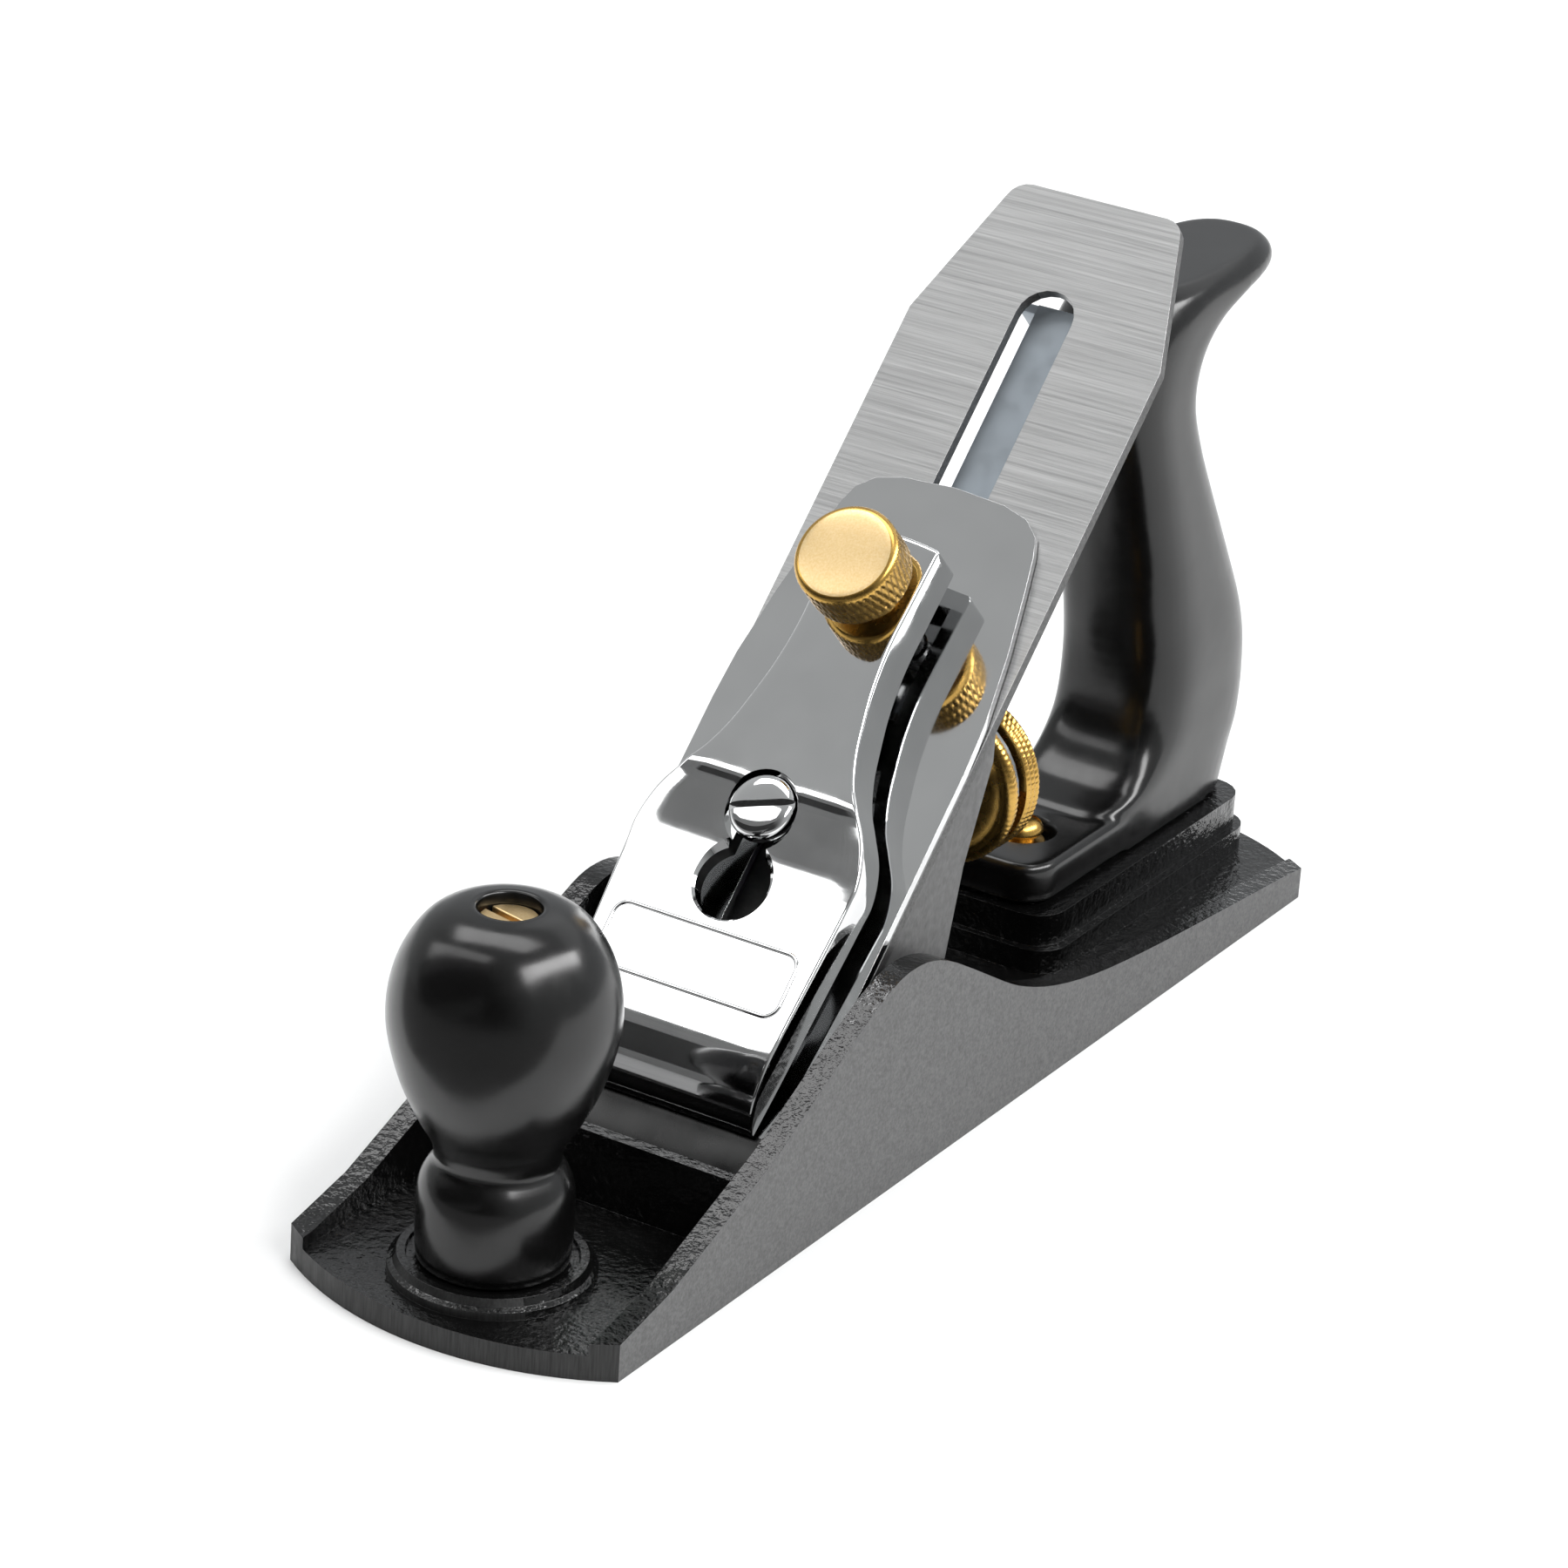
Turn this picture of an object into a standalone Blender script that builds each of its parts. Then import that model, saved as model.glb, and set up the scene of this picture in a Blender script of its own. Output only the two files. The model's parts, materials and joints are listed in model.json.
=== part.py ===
"""Metal bench plane of the No. 4 size: an iron body with a black front knob and rear tote, a 45 degree
frog, a cutting iron with its cap iron, a lever cap held by a brass thumbscrew, and depth and lateral
adjusters.  Metres, +Z up.  The toe points to -Y, the heel to +Y and the sole lies on z = 0."""

import math

import bmesh
import bpy
from mathutils import Matrix, Vector

MM = 0.001
GAP = 0.3 * MM                      # play left between touching pieces

# ---- driving dimensions ------------------------------------------------------------------------
SOLE_LENGTH = 251 * MM
SOLE_WIDTH = 63.6 * MM
SOLE_THICKNESS = 4.5 * MM
TOE_SAGITTA = 9.8 * MM              # how far the curved toe bulges past its corners
HEEL_SAGITTA = 11.8 * MM
CHEEK_THICKNESS = 4.2 * MM
CHEEK_PEAK = 39.9 * MM
TOE_CORNER_HEIGHT = 6.7 * MM
HEEL_CORNER_HEIGHT = 4.6 * MM

BED_ANGLE = math.radians(45)
MOUTH_Y = -69.4 * MM                # where the iron's upper face meets the sole
MOUTH_WIDTH = 52.6 * MM
MOUTH_FRONT = -71.4 * MM
MOUTH_BACK = -65.2 * MM             # at the sole; the rear wall leans back with the bed

IRON_WIDTH = 50 * MM
IRON_THICKNESS = 2.2 * MM
IRON_LENGTH = 198 * MM
IRON_START = 0.3 * MM               # the edge rests this far up the bed, just inside the sole
IRON_CLIP_START = 169.8 * MM        # where the long clipped corners begin
IRON_CLIP_HALF = 17.4 * MM          # half width left at the top end
SLOT_HALF = 5.5 * MM
SLOT_TOP = 173.9 * MM               # centre of the slot's round upper end
SLOT_BOTTOM = 52 * MM

CAP_IRON_THICKNESS = 1.6 * MM
CAP_IRON_TOP = 138.7 * MM
IRON_SCREW_S = 90 * MM              # screw that holds the cap iron to the iron

KNOB_Y = -104.7 * MM
KNOB_BASE_Z = 7.3 * MM
KNOB_HEIGHT = 61.7 * MM
KNOB_RADIUS = 18.75 * MM
BOSS_RADIUS = 17 * MM

PLINTH_FRONT = 44.5 * MM
PLINTH_BACK = 121.2 * MM
PLINTH_HALF = 15.4 * MM
PLINTH_STEP_Z = 9 * MM
PLINTH_TOP_Z = 15 * MM

FOOT_TOP_Z = 23.3 * MM
FOOT_HALF = 12.2 * MM
TOTE_HALF = 13.2 * MM
TOTE_SCREW_Y = 61.5 * MM
TOE_RECESS = 3.6 * MM               # depth of the recess round the tote's toe screw

WHEEL_Y = 29.6 * MM                 # forward face of the brass depth wheel
WHEEL_Z = 43.1 * MM
WHEEL_RADIUS = 15 * MM
WHEEL_WIDTH = 10.4 * MM
BUSH_RADIUS = 4.6 * MM              # threaded bush the wheel turns with, along the stud
GROOVE_START = 2.2 * MM
GROOVE_WIDTH = 3.4 * MM
GROOVE_RADIUS = 9.5 * MM
FORK_INNER = 10.8 * MM              # half-ring fork that rides in the wheel's groove
FORK_OUTER = 13.8 * MM

CAP_SCREW_S = 70 * MM               # lever-cap screw, measured up the bed from the mouth
CAP_SCREW_HEAD_RADIUS = 5.9 * MM
CAP_SCREW_SEAT_W = 12.1 * MM
KEYHOLE_S = 56.5 * MM
KEYHOLE_RADIUS = 6.7 * MM
PLATEAU_W = 15.2 * MM               # top of the lever cap above the iron's upper face
CAP_TOP_S = 122 * MM
THUMB_S = 112.5 * MM
THUMB_RADIUS = 9.2 * MM
THUMB_HEAD_BASE_W = 18 * MM
THUMB_HEAD_HEIGHT = 9 * MM

FROG_HALF = 24 * MM
FROG_FACE_W = -2.5 * MM             # bed of the frog, below the iron
FROG_BACK_Y = -4.4 * MM
FROG_SEAT_Z = 5.6 * MM
FROG_TOP_S = 133.5 * MM
FROG_TONGUE_HALF = 16.5 * MM
FROG_SCREW_X = 13 * MM
FROG_SCREW_Y = -37 * MM
FROG_FLOOR_Z = 12 * MM              # top of the frog's foot, under the screw heads
PIVOT_S = 128 * MM                  # pivot of the lateral lever
LATERAL_ARM = 9 * MM                # from that pivot down to its disc
YOKE_Y = 13.5 * MM
YOKE_Z = 66.5 * MM

UP_BED = Vector((0, math.cos(BED_ANGLE), math.sin(BED_ANGLE)))
OFF_BED = Vector((0, -math.sin(BED_ANGLE), math.cos(BED_ANGLE)))
MOUTH = Vector((0, MOUTH_Y, 0))
YOKE_SLOT_S = (Vector((0, YOKE_Y, YOKE_Z)) - MOUTH).dot(UP_BED)      # where the yoke's finger meets the bed

TOTE_TOP = Vector((0, 82.5 * MM, 119 * MM))        # where the tote rod comes out at the top
TOTE_LEAN = math.atan2(25, 110)
TOTE_ROD_FOOT = -111 * MM                          # its threaded end, down in the plinth

# Local X and Y of a side view become the bed's Y (up the bed) and Z (off it), its thickness the bed's X.
ALONG_BED = Matrix(((0, 0, 1, 0), (1, 0, 0, 0), (0, 1, 0, 0), (0, 0, 0, 1)))


def bed(s, w, x=0.0):
    """World point at s up the bed, w above the iron's upper face and x to the side."""
    return MOUTH + UP_BED * s + OFF_BED * w + Vector((x, 0, 0))


def bed_matrix(s=0.0, w=0.0, x=0.0):
    """Frame whose X is the plane's X, Y runs up the bed and Z stands off it."""
    return Matrix.Translation(bed(s, w, x)) @ Matrix.Rotation(BED_ANGLE, 4, "X")


# ---- scene and materials -----------------------------------------------------------------------
for old in list(bpy.data.objects):
    bpy.data.objects.remove(old, do_unlink=True)

PARTS = bpy.data.collections.new("hand_plane")
CUTTERS = bpy.data.collections.new("cutters")
for folder in (PARTS, CUTTERS):
    bpy.context.scene.collection.children.link(folder)


def material(name, colour, roughness, metallic):
    made = bpy.data.materials.new(name)
    made.use_nodes = True
    shader = made.node_tree.nodes["Principled BSDF"]
    shader.inputs["Base Color"].default_value = (*colour, 1)
    shader.inputs["Roughness"].default_value = roughness
    shader.inputs["Metallic"].default_value = metallic
    return made


ENAMEL = ((0.012, 0.012, 0.013), 0.25, 0.0)
BLACK_GLOSS = ((0.010, 0.010, 0.011), 0.15, 0.0)
GREY_PAINT = ((0.33, 0.34, 0.34), 0.5, 0.3)
STEEL = ((0.62, 0.62, 0.63), 0.38, 1.0)
ZINC = ((0.55, 0.57, 0.60), 0.3, 1.0)
CHROME = ((0.80, 0.80, 0.81), 0.06, 1.0)
BRASS = ((0.78, 0.56, 0.22), 0.28, 1.0)


# ---- shape helpers -----------------------------------------------------------------------------
def make_object(name, mesh, matrix=None):
    made = bpy.data.objects.new(name, mesh)
    PARTS.objects.link(made)
    if matrix is not None:
        made.matrix_world = matrix
    return made


def from_bmesh(name, shape, matrix=None):
    bmesh.ops.recalc_face_normals(shape, faces=shape.faces)
    mesh = bpy.data.meshes.new(name)
    shape.to_mesh(mesh)
    shape.free()
    return make_object(name, mesh, matrix)


def box(name, low, high, matrix=None):
    """Block between two corners."""
    low, high = Vector(low), Vector(high)
    shape = bmesh.new()
    bmesh.ops.create_cube(shape, size=1)
    bmesh.ops.scale(shape, vec=high - low, verts=shape.verts)
    bmesh.ops.translate(shape, vec=(low + high) / 2, verts=shape.verts)
    return from_bmesh(name, shape, matrix)


def cylinder(name, radius, start, end, matrix=None, sides=32):
    """Cylinder along local Z from start to end."""
    shape = bmesh.new()
    bmesh.ops.create_cone(shape, cap_ends=True, segments=sides, radius1=radius, radius2=radius,
                          depth=end - start)
    bmesh.ops.translate(shape, vec=(0, 0, (start + end) / 2), verts=shape.verts)
    return from_bmesh(name, shape, matrix)


def plate(name, outline, low, high, matrix=None):
    """Flat outline in local XY, given thickness from low to high along local Z."""
    curve = bpy.data.curves.new(name, "CURVE")
    curve.dimensions = "2D"
    curve.fill_mode = "BOTH"
    curve.extrude = (high - low) / 2
    spline = curve.splines.new("POLY")
    spline.points.add(len(outline) - 1)
    for point, (x, y) in zip(spline.points, outline):
        point.co = (x, y, 0, 1)
    spline.use_cyclic_u = True
    guide = bpy.data.objects.new(name, curve)
    PARTS.objects.link(guide)
    bpy.context.view_layer.update()
    mesh = bpy.data.meshes.new_from_object(guide.evaluated_get(bpy.context.evaluated_depsgraph_get()))
    bpy.data.objects.remove(guide, do_unlink=True)
    shape = bmesh.new()
    shape.from_mesh(mesh)
    bmesh.ops.remove_doubles(shape, verts=shape.verts, dist=1e-6)
    bmesh.ops.translate(shape, vec=(0, 0, (low + high) / 2), verts=shape.verts)
    return from_bmesh(name, shape, matrix)


def side_plate(name, outline, left, right):
    """Outline in the YZ plane, given thickness from x = left to x = right."""
    return plate(name, outline, left, right, ALONG_BED)


def turned(name, profile, matrix=None, steps=32):
    """Solid of revolution about local Z from (radius, height) pairs, outer side from top to bottom.

    A profile that ends where it started makes a ring with a bore.
    """
    mesh = bpy.data.meshes.new(name)
    points = [(radius, 0, height) for radius, height in profile]
    edges = [(i, i + 1) for i in range(len(points) - 1)]
    if profile[0] == profile[-1]:
        points.pop()
        edges[-1] = (len(points) - 1, 0)
    mesh.from_pydata(points, edges, [])
    made = make_object(name, mesh, matrix)
    screw = made.modifiers.new("turn", "SCREW")
    screw.axis = "Z"
    screw.steps = screw.render_steps = steps
    screw.use_merge_vertices = True
    screw.merge_threshold = 1e-6
    screw.use_smooth_shade = False
    apply_modifiers(made)
    return made


def apply_modifiers(target):
    bpy.context.view_layer.update()
    graph = bpy.context.evaluated_depsgraph_get()
    mesh = bpy.data.meshes.new_from_object(target.evaluated_get(graph))
    target.modifiers.clear()
    target.data = mesh


def combine(target, others, operation):
    for other in others:
        step = target.modifiers.new(operation, "BOOLEAN")
        step.operation = operation
        step.solver = "EXACT"
        step.object = other
    apply_modifiers(target)
    for other in others:
        if operation == "DIFFERENCE":
            PARTS.objects.unlink(other)
            CUTTERS.objects.link(other)
            other.hide_render = True
            other.display_type = "WIRE"
        else:
            bpy.data.objects.remove(other, do_unlink=True)
    return target


def add(target, *others):
    return combine(target, others, "UNION")


def cut(target, *others):
    return combine(target, others, "DIFFERENCE")


def keep_common(target, other):
    return combine(target, (other,), "INTERSECT")


def soften(target, width, segments=2, angle=40):
    bevel = target.modifiers.new("soften", "BEVEL")
    bevel.width = width
    bevel.segments = segments
    bevel.limit_method = "ANGLE"
    bevel.angle_limit = math.radians(angle)
    bevel.use_clamp_overlap = True
    apply_modifiers(target)
    return target


def finish(target, look, origin=None):
    """Bake the placement into the mesh, set the origin on the joint axis and give it its material."""
    target.data.transform(target.matrix_world)
    target.matrix_world = Matrix.Identity(4)
    if origin is not None:
        target.data.transform(Matrix.Translation(-Vector(origin)))
        target.location = origin
    colour, roughness, metallic = look
    target.data.materials.clear()
    target.data.materials.append(material(target.name, colour, roughness, metallic))
    target.data.shade_smooth()
    target.data.set_sharp_from_angle(angle=math.radians(35))
    return target


def arc(centre, radius, start, end, steps):
    """Points on an arc, angles in degrees."""
    points = []
    for i in range(steps + 1):
        angle = math.radians(start + (end - start) * i / steps)
        points.append((centre[0] + radius * math.cos(angle), centre[1] + radius * math.sin(angle)))
    return points


def bulge(half_width, y_corner, sagitta, steps):
    """Arc from -half_width to +half_width that bulges by sagitta along y."""
    radius = (half_width ** 2 + sagitta ** 2) / (2 * abs(sagitta))
    points = []
    for i in range(steps + 1):
        x = half_width * (2 * i / steps - 1)
        rise = math.sqrt(radius ** 2 - x ** 2) - (radius - abs(sagitta))
        points.append((x, y_corner + math.copysign(rise, sagitta)))
    return points


def smooth_line(points, steps):
    """Points along a Catmull-Rom curve through the given ones."""
    ends = [points[0], *points, points[-1]]
    result = []
    for a, b, c, d in zip(ends, ends[1:], ends[2:], ends[3:]):
        for i in range(steps):
            t = i / steps
            result.append(tuple(
                0.5 * (2 * q + (r - p) * t + (2 * p - 5 * q + 4 * r - s) * t ** 2
                       + (3 * q - p - 3 * r + s) * t ** 3) for p, q, r, s in zip(a, b, c, d)))
    return result + [points[-1]]


def millimetres(points):
    return [tuple(value * MM for value in point) for point in points]


def slotted_head(target, radius, top, width, depth, matrix=None):
    """Cut a screwdriver slot across a head whose top is at local z = top."""
    return cut(target, box("slot", (-radius * 1.2, -width / 2, top - depth),
                           (radius * 1.2, width / 2, top + depth), matrix))


# ---- body casting ------------------------------------------------------------------------------
def sole_outline(steps=24):
    half = SOLE_WIDTH / 2
    toe = bulge(half, -SOLE_LENGTH / 2 + TOE_SAGITTA, -TOE_SAGITTA, steps)
    heel = bulge(half, SOLE_LENGTH / 2 - HEEL_SAGITTA, HEEL_SAGITTA, steps)
    return toe + heel[::-1]


def cheek_outline():
    """Side of the body: low at the toe, a round hump beside the iron, low again to the heel."""
    slope = millimetres([(-101, 10.0), (-71.5, 21.6), (-50.2, 33.2)])
    hump = millimetres([(-42, 37.2), (-35.7, 39.4), (-30.5, CHEEK_PEAK / MM), (-24.5, 39.0),
                        (-16.5, 35.6), (0.5, 25.7), (8.6, 21.6), (19.4, 17.7), (33.7, 14.4),
                        (51.9, 11.9), (75.0, 9.6), (106.9, 6.8)])
    reach = SOLE_LENGTH / 2 + 1 * MM
    top = [(-reach, TOE_CORNER_HEIGHT - 0.7 * MM), (-115.7 * MM, TOE_CORNER_HEIGHT)]
    top += slope + smooth_line(hump, 3) + [(reach, HEEL_CORNER_HEIGHT - 0.2 * MM)]
    return top + [(reach, 0), (-reach, 0)]


def round_rectangle(half_width, back, front, radius, steps=5):
    """Rectangle from y = front to y = back with round corners."""
    points = arc((half_width - radius, back - radius), radius, 0, 90, steps)
    points += arc((-half_width + radius, back - radius), radius, 90, 180, steps)
    points += arc((-half_width + radius, front + radius), radius, 180, 270, steps)
    points += arc((half_width - radius, front + radius), radius, 270, 360, steps)
    return points


def knob_boss_profile():
    """Round seat of the knob, with a low rim that keeps the knob centred."""
    pad, radius = KNOB_BASE_Z - GAP, BOSS_RADIUS
    return [(0, pad), (radius - 3.1 * MM, pad), (radius - 2.9 * MM, 7.7 * MM), (radius - 1.5 * MM, 7.7 * MM),
            (radius - 0.9 * MM, 6.4 * MM), (radius, 5.9 * MM), (radius, 3.6 * MM), (0, 3.6 * MM)]


def build_body():
    half = SOLE_WIDTH / 2
    inside = half - CHEEK_THICKNESS
    body = plate("body_casting", sole_outline(), 0, CHEEK_PEAK * 1.1)
    keep_common(body, side_plate("side_view", cheek_outline(), -half - MM, half + MM))
    cut(body, box("inside", (-inside, -SOLE_LENGTH, SOLE_THICKNESS), (inside, SOLE_LENGTH, 2 * CHEEK_PEAK)))
    rib = millimetres([(-76.6, 3.5), (-76.4, 17.5), (-73.6, 17.3), (-71.9, 3.5)])
    seat_rise = FROG_SEAT_Z - GAP
    at_knob = Matrix.Translation((0, KNOB_Y, 0))
    add(body,
        side_plate("mouth_rib", rib, -inside - MM, inside + MM),
        turned("knob_boss", knob_boss_profile(), at_knob, 48),
        box("frog_seat", (-20 * MM, MOUTH_BACK + 2 * MM, 4 * MM), (20 * MM, FROG_BACK_Y + 4 * MM, seat_rise)),
        plate("plinth_step",
              round_rectangle(PLINTH_HALF + 1.6 * MM, PLINTH_BACK + 0.3 * MM, PLINTH_FRONT, 6 * MM),
              4 * MM, PLINTH_STEP_Z),
        plate("plinth", round_rectangle(PLINTH_HALF, PLINTH_BACK, PLINTH_FRONT + 1.4 * MM, 6 * MM),
              3.8 * MM, PLINTH_TOP_Z))
    mouth = [(MOUTH_FRONT, -MM), (MOUTH_BACK - MM, -MM), (MOUTH_BACK + 12 * MM, 12 * MM),
             (MOUTH_FRONT, 12 * MM)]
    cutters = [
        side_plate("mouth", mouth, -MOUTH_WIDTH / 2, MOUTH_WIDTH / 2),
        cylinder("knob_hole", 3 * MM, 2 * MM, 12 * MM, at_knob, 20),
        cylinder("toe_screw_hole", 2.3 * MM, 5 * MM, 20 * MM, Matrix.Translation((0, TOTE_SCREW_Y, 0)), 16),
        cylinder("tote_rod_hole", 3 * MM, TOTE_ROD_FOOT - 2 * MM, -80 * MM, tote_rod_matrix(), 20)]
    for side in (-1, 1):
        place = Matrix.Translation((side * FROG_SCREW_X, FROG_SCREW_Y, 0))
        cutters.append(cylinder("frog_screw_hole", 2.8 * MM, 1.5 * MM, 12 * MM, place, 16))
    cut(body, *cutters)
    return finish(body, ENAMEL)


# ---- knob and tote -----------------------------------------------------------------------------
def knob_profile():
    """Outline of the turned knob: (radius, height) above its base, top to bottom."""
    top = KNOB_HEIGHT / MM
    bulb = [(5.2, top), (9.4, top - 0.6), (13.2, top - 3.1), (16.3, top - 7.6), (18.1, top - 12.6),
            (KNOB_RADIUS / MM, top - 18.0), (18.2, top - 23.2), (16.2, top - 30.2),
            (13.3, top - 36.4), (11.0, top - 40.4), (10.2, top - 43.0)]
    foot = [(10.4, top - 44.2), (11.7, top - 46.2), (12.6, top - 49), (12.8, 8), (12.7, 4), (12.3, 0)]
    return millimetres(smooth_line(bulb, 2) + foot)


def build_knob():
    place = Matrix.Translation((0, KNOB_Y, KNOB_BASE_Z))
    top = KNOB_HEIGHT
    hole = 3 * MM
    recess = [(hole, top - 8 * MM), (5.2 * MM, top - 8 * MM)]
    knob = turned("front_knob", recess + knob_profile() + [(hole, 0), recess[0]], place, 40)
    finish(knob, BLACK_GLOSS)
    rod = cylinder("knob_rod", 2.5 * MM, 2.3 * MM, KNOB_BASE_Z + top - 8.4 * MM,
                   Matrix.Translation((0, KNOB_Y, 0)), 20)
    finish(rod, STEEL)
    nut_base = KNOB_BASE_Z + top - 7.6 * MM
    nut = cylinder("knob_nut", 4.8 * MM, nut_base, nut_base + 5.6 * MM,
                   Matrix.Translation((0, KNOB_Y, 0)), 28)
    slotted_head(nut, 4.8 * MM, nut_base + 5.6 * MM, 1.3 * MM, 1.8 * MM,
                 Matrix.Translation((0, KNOB_Y, 0)) @ Matrix.Rotation(math.radians(-12), 4, "Z"))
    finish(nut, BRASS)


def tote_rod_matrix():
    """Frame with its origin at the tote's top and Z along the leaning rod, upwards."""
    return Matrix.Translation(TOTE_TOP) @ Matrix.Rotation(TOTE_LEAN, 4, "X")


# Stations of the tote from foot to horn: front point, back point (y, z), half width (mm) and the
# squareness of the cross-section.
TOTE_STATIONS = [
    ((70.0, 15.3), (121.0, 15.3), 12.3, 5.0), ((71.0, 23.0), (123.4, 23.4), 12.5, 5.0),
    ((79.5, 26.2), (124.8, 29.0), 12.7, 5.0), ((85.0, 29.8), (125.2, 35.0), 12.9, 4.6),
    ((88.3, 34.5), (125.0, 41.0), 13.0, 4.2), ((89.8, 41.0), (123.6, 47.5), TOTE_HALF / MM, 4.0),
    ((89.6, 48.5), (120.6, 55.0), TOTE_HALF / MM, 3.8), ((87.6, 57.0), (116.2, 63.0), 13.0, 3.6),
    ((85.4, 66.0), (110.6, 72.0), 12.9, 3.5), ((82.0, 75.5), (104.6, 81.5), 12.8, 3.5),
    ((78.6, 85.0), (99.2, 90.5), 12.7, 3.5), ((75.2, 94.0), (95.6, 99.0), 12.6, 3.5),
    ((72.8, 101.5), (96.2, 105.5), 12.6, 3.5), ((71.6, 107.0), (100.6, 110.8), 12.5, 3.3),
    ((71.8, 111.5), (107.2, 114.6), 12.3, 3.0), ((73.4, 115.3), (116.5, 116.9), 11.9, 2.7),
    ((75.5, 118.2), (124.2, 118.0), 10.9, 2.5), ((80.0, 120.2), (124.4, 120.6), 9.0, 2.4),
    ((86.0, 121.4), (120.5, 122.8), 6.0, 2.3),
]


def tote_grip(name, sides=28):
    """Loft of rounded-square sections, each lying along its station's front-to-back line."""
    shape = bmesh.new()
    rings = []
    for front, back, half, squareness in TOTE_STATIONS:
        front, back = Vector((0, *front)) * MM, Vector((0, *back)) * MM
        middle, reach = (front + back) / 2, (back - front) / 2
        ring_points = []
        for i in range(sides):
            angle = 2 * math.pi * i / sides
            across, along = math.cos(angle), math.sin(angle)
            size = (abs(across) ** squareness + abs(along) ** squareness) ** (1 / squareness)
            point = middle + reach * (along / size) + Vector((half * MM * across / size, 0, 0))
            ring_points.append(shape.verts.new(point))
        rings.append(ring_points)
    for lower, upper in zip(rings, rings[1:]):
        for i in range(sides):
            j = (i + 1) % sides
            shape.faces.new((lower[i], lower[j], upper[j], upper[i]))
    shape.faces.new(rings[0][::-1])
    shape.faces.new(rings[-1])
    return from_bmesh(name, shape)


def build_tote():
    base = PLINTH_TOP_Z + GAP
    tote = tote_grip("tote")
    foot = plate("foot", round_rectangle(FOOT_HALF, 112 * MM, PLINTH_FRONT + 2.4 * MM, 6.5 * MM),
                 base - 0.02 * MM, FOOT_TOP_Z)
    add(tote, foot)
    rod = tote_rod_matrix()
    cut(tote,
        cylinder("rod_bore", 3 * MM, -125 * MM, 10 * MM, rod, 20),
        cylinder("nut_recess", 5.4 * MM, -8 * MM, 12 * MM, rod, 28),
        cylinder("toe_recess", 6.2 * MM, FOOT_TOP_Z - TOE_RECESS, FOOT_TOP_Z + 8 * MM,
                 Matrix.Translation((0, TOTE_SCREW_Y, 0)), 28),
        cylinder("toe_bore", 2.4 * MM, base - MM, FOOT_TOP_Z, Matrix.Translation((0, TOTE_SCREW_Y, 0)), 16))
    finish(tote, BLACK_GLOSS)
    finish(cylinder("tote_rod", 2.5 * MM, TOTE_ROD_FOOT, -8.4 * MM, rod, 20), STEEL)
    nut = cylinder("tote_nut", 4.9 * MM, -7.6 * MM, -1.6 * MM, rod, 28)
    slotted_head(nut, 4.9 * MM, -1.6 * MM, 1.3 * MM, 1.8 * MM, rod)
    finish(nut, BRASS)
    place = Matrix.Translation((0, TOTE_SCREW_Y, FOOT_TOP_Z - TOE_RECESS + GAP))
    profile = millimetres([(0, 6.0), (2.6, 5.7), (3.9, 4.6), (4.2, 3.4), (3.6, 2.6), (2.7, 2.2),
                           (2.7, 1.4), (4.6, 1.2), (4.6, 0), (2.0, 0), (2.0, -12.4), (0, -12.4)])
    screw = turned("tote_toe_screw", profile, place, 28)
    slotted_head(screw, 4.2 * MM, 6 * MM, 1.2 * MM, 1.5 * MM,
                 place @ Matrix.Rotation(math.radians(35), 4, "Z"))
    finish(screw, BRASS)


# ---- frog --------------------------------------------------------------------------------------
def frog_face_z(y, w=FROG_FACE_W):
    """Height of a plane parallel to the bed, w above the iron's upper face, at y."""
    return y - MOUTH_Y + w / math.cos(BED_ANGLE)


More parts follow.
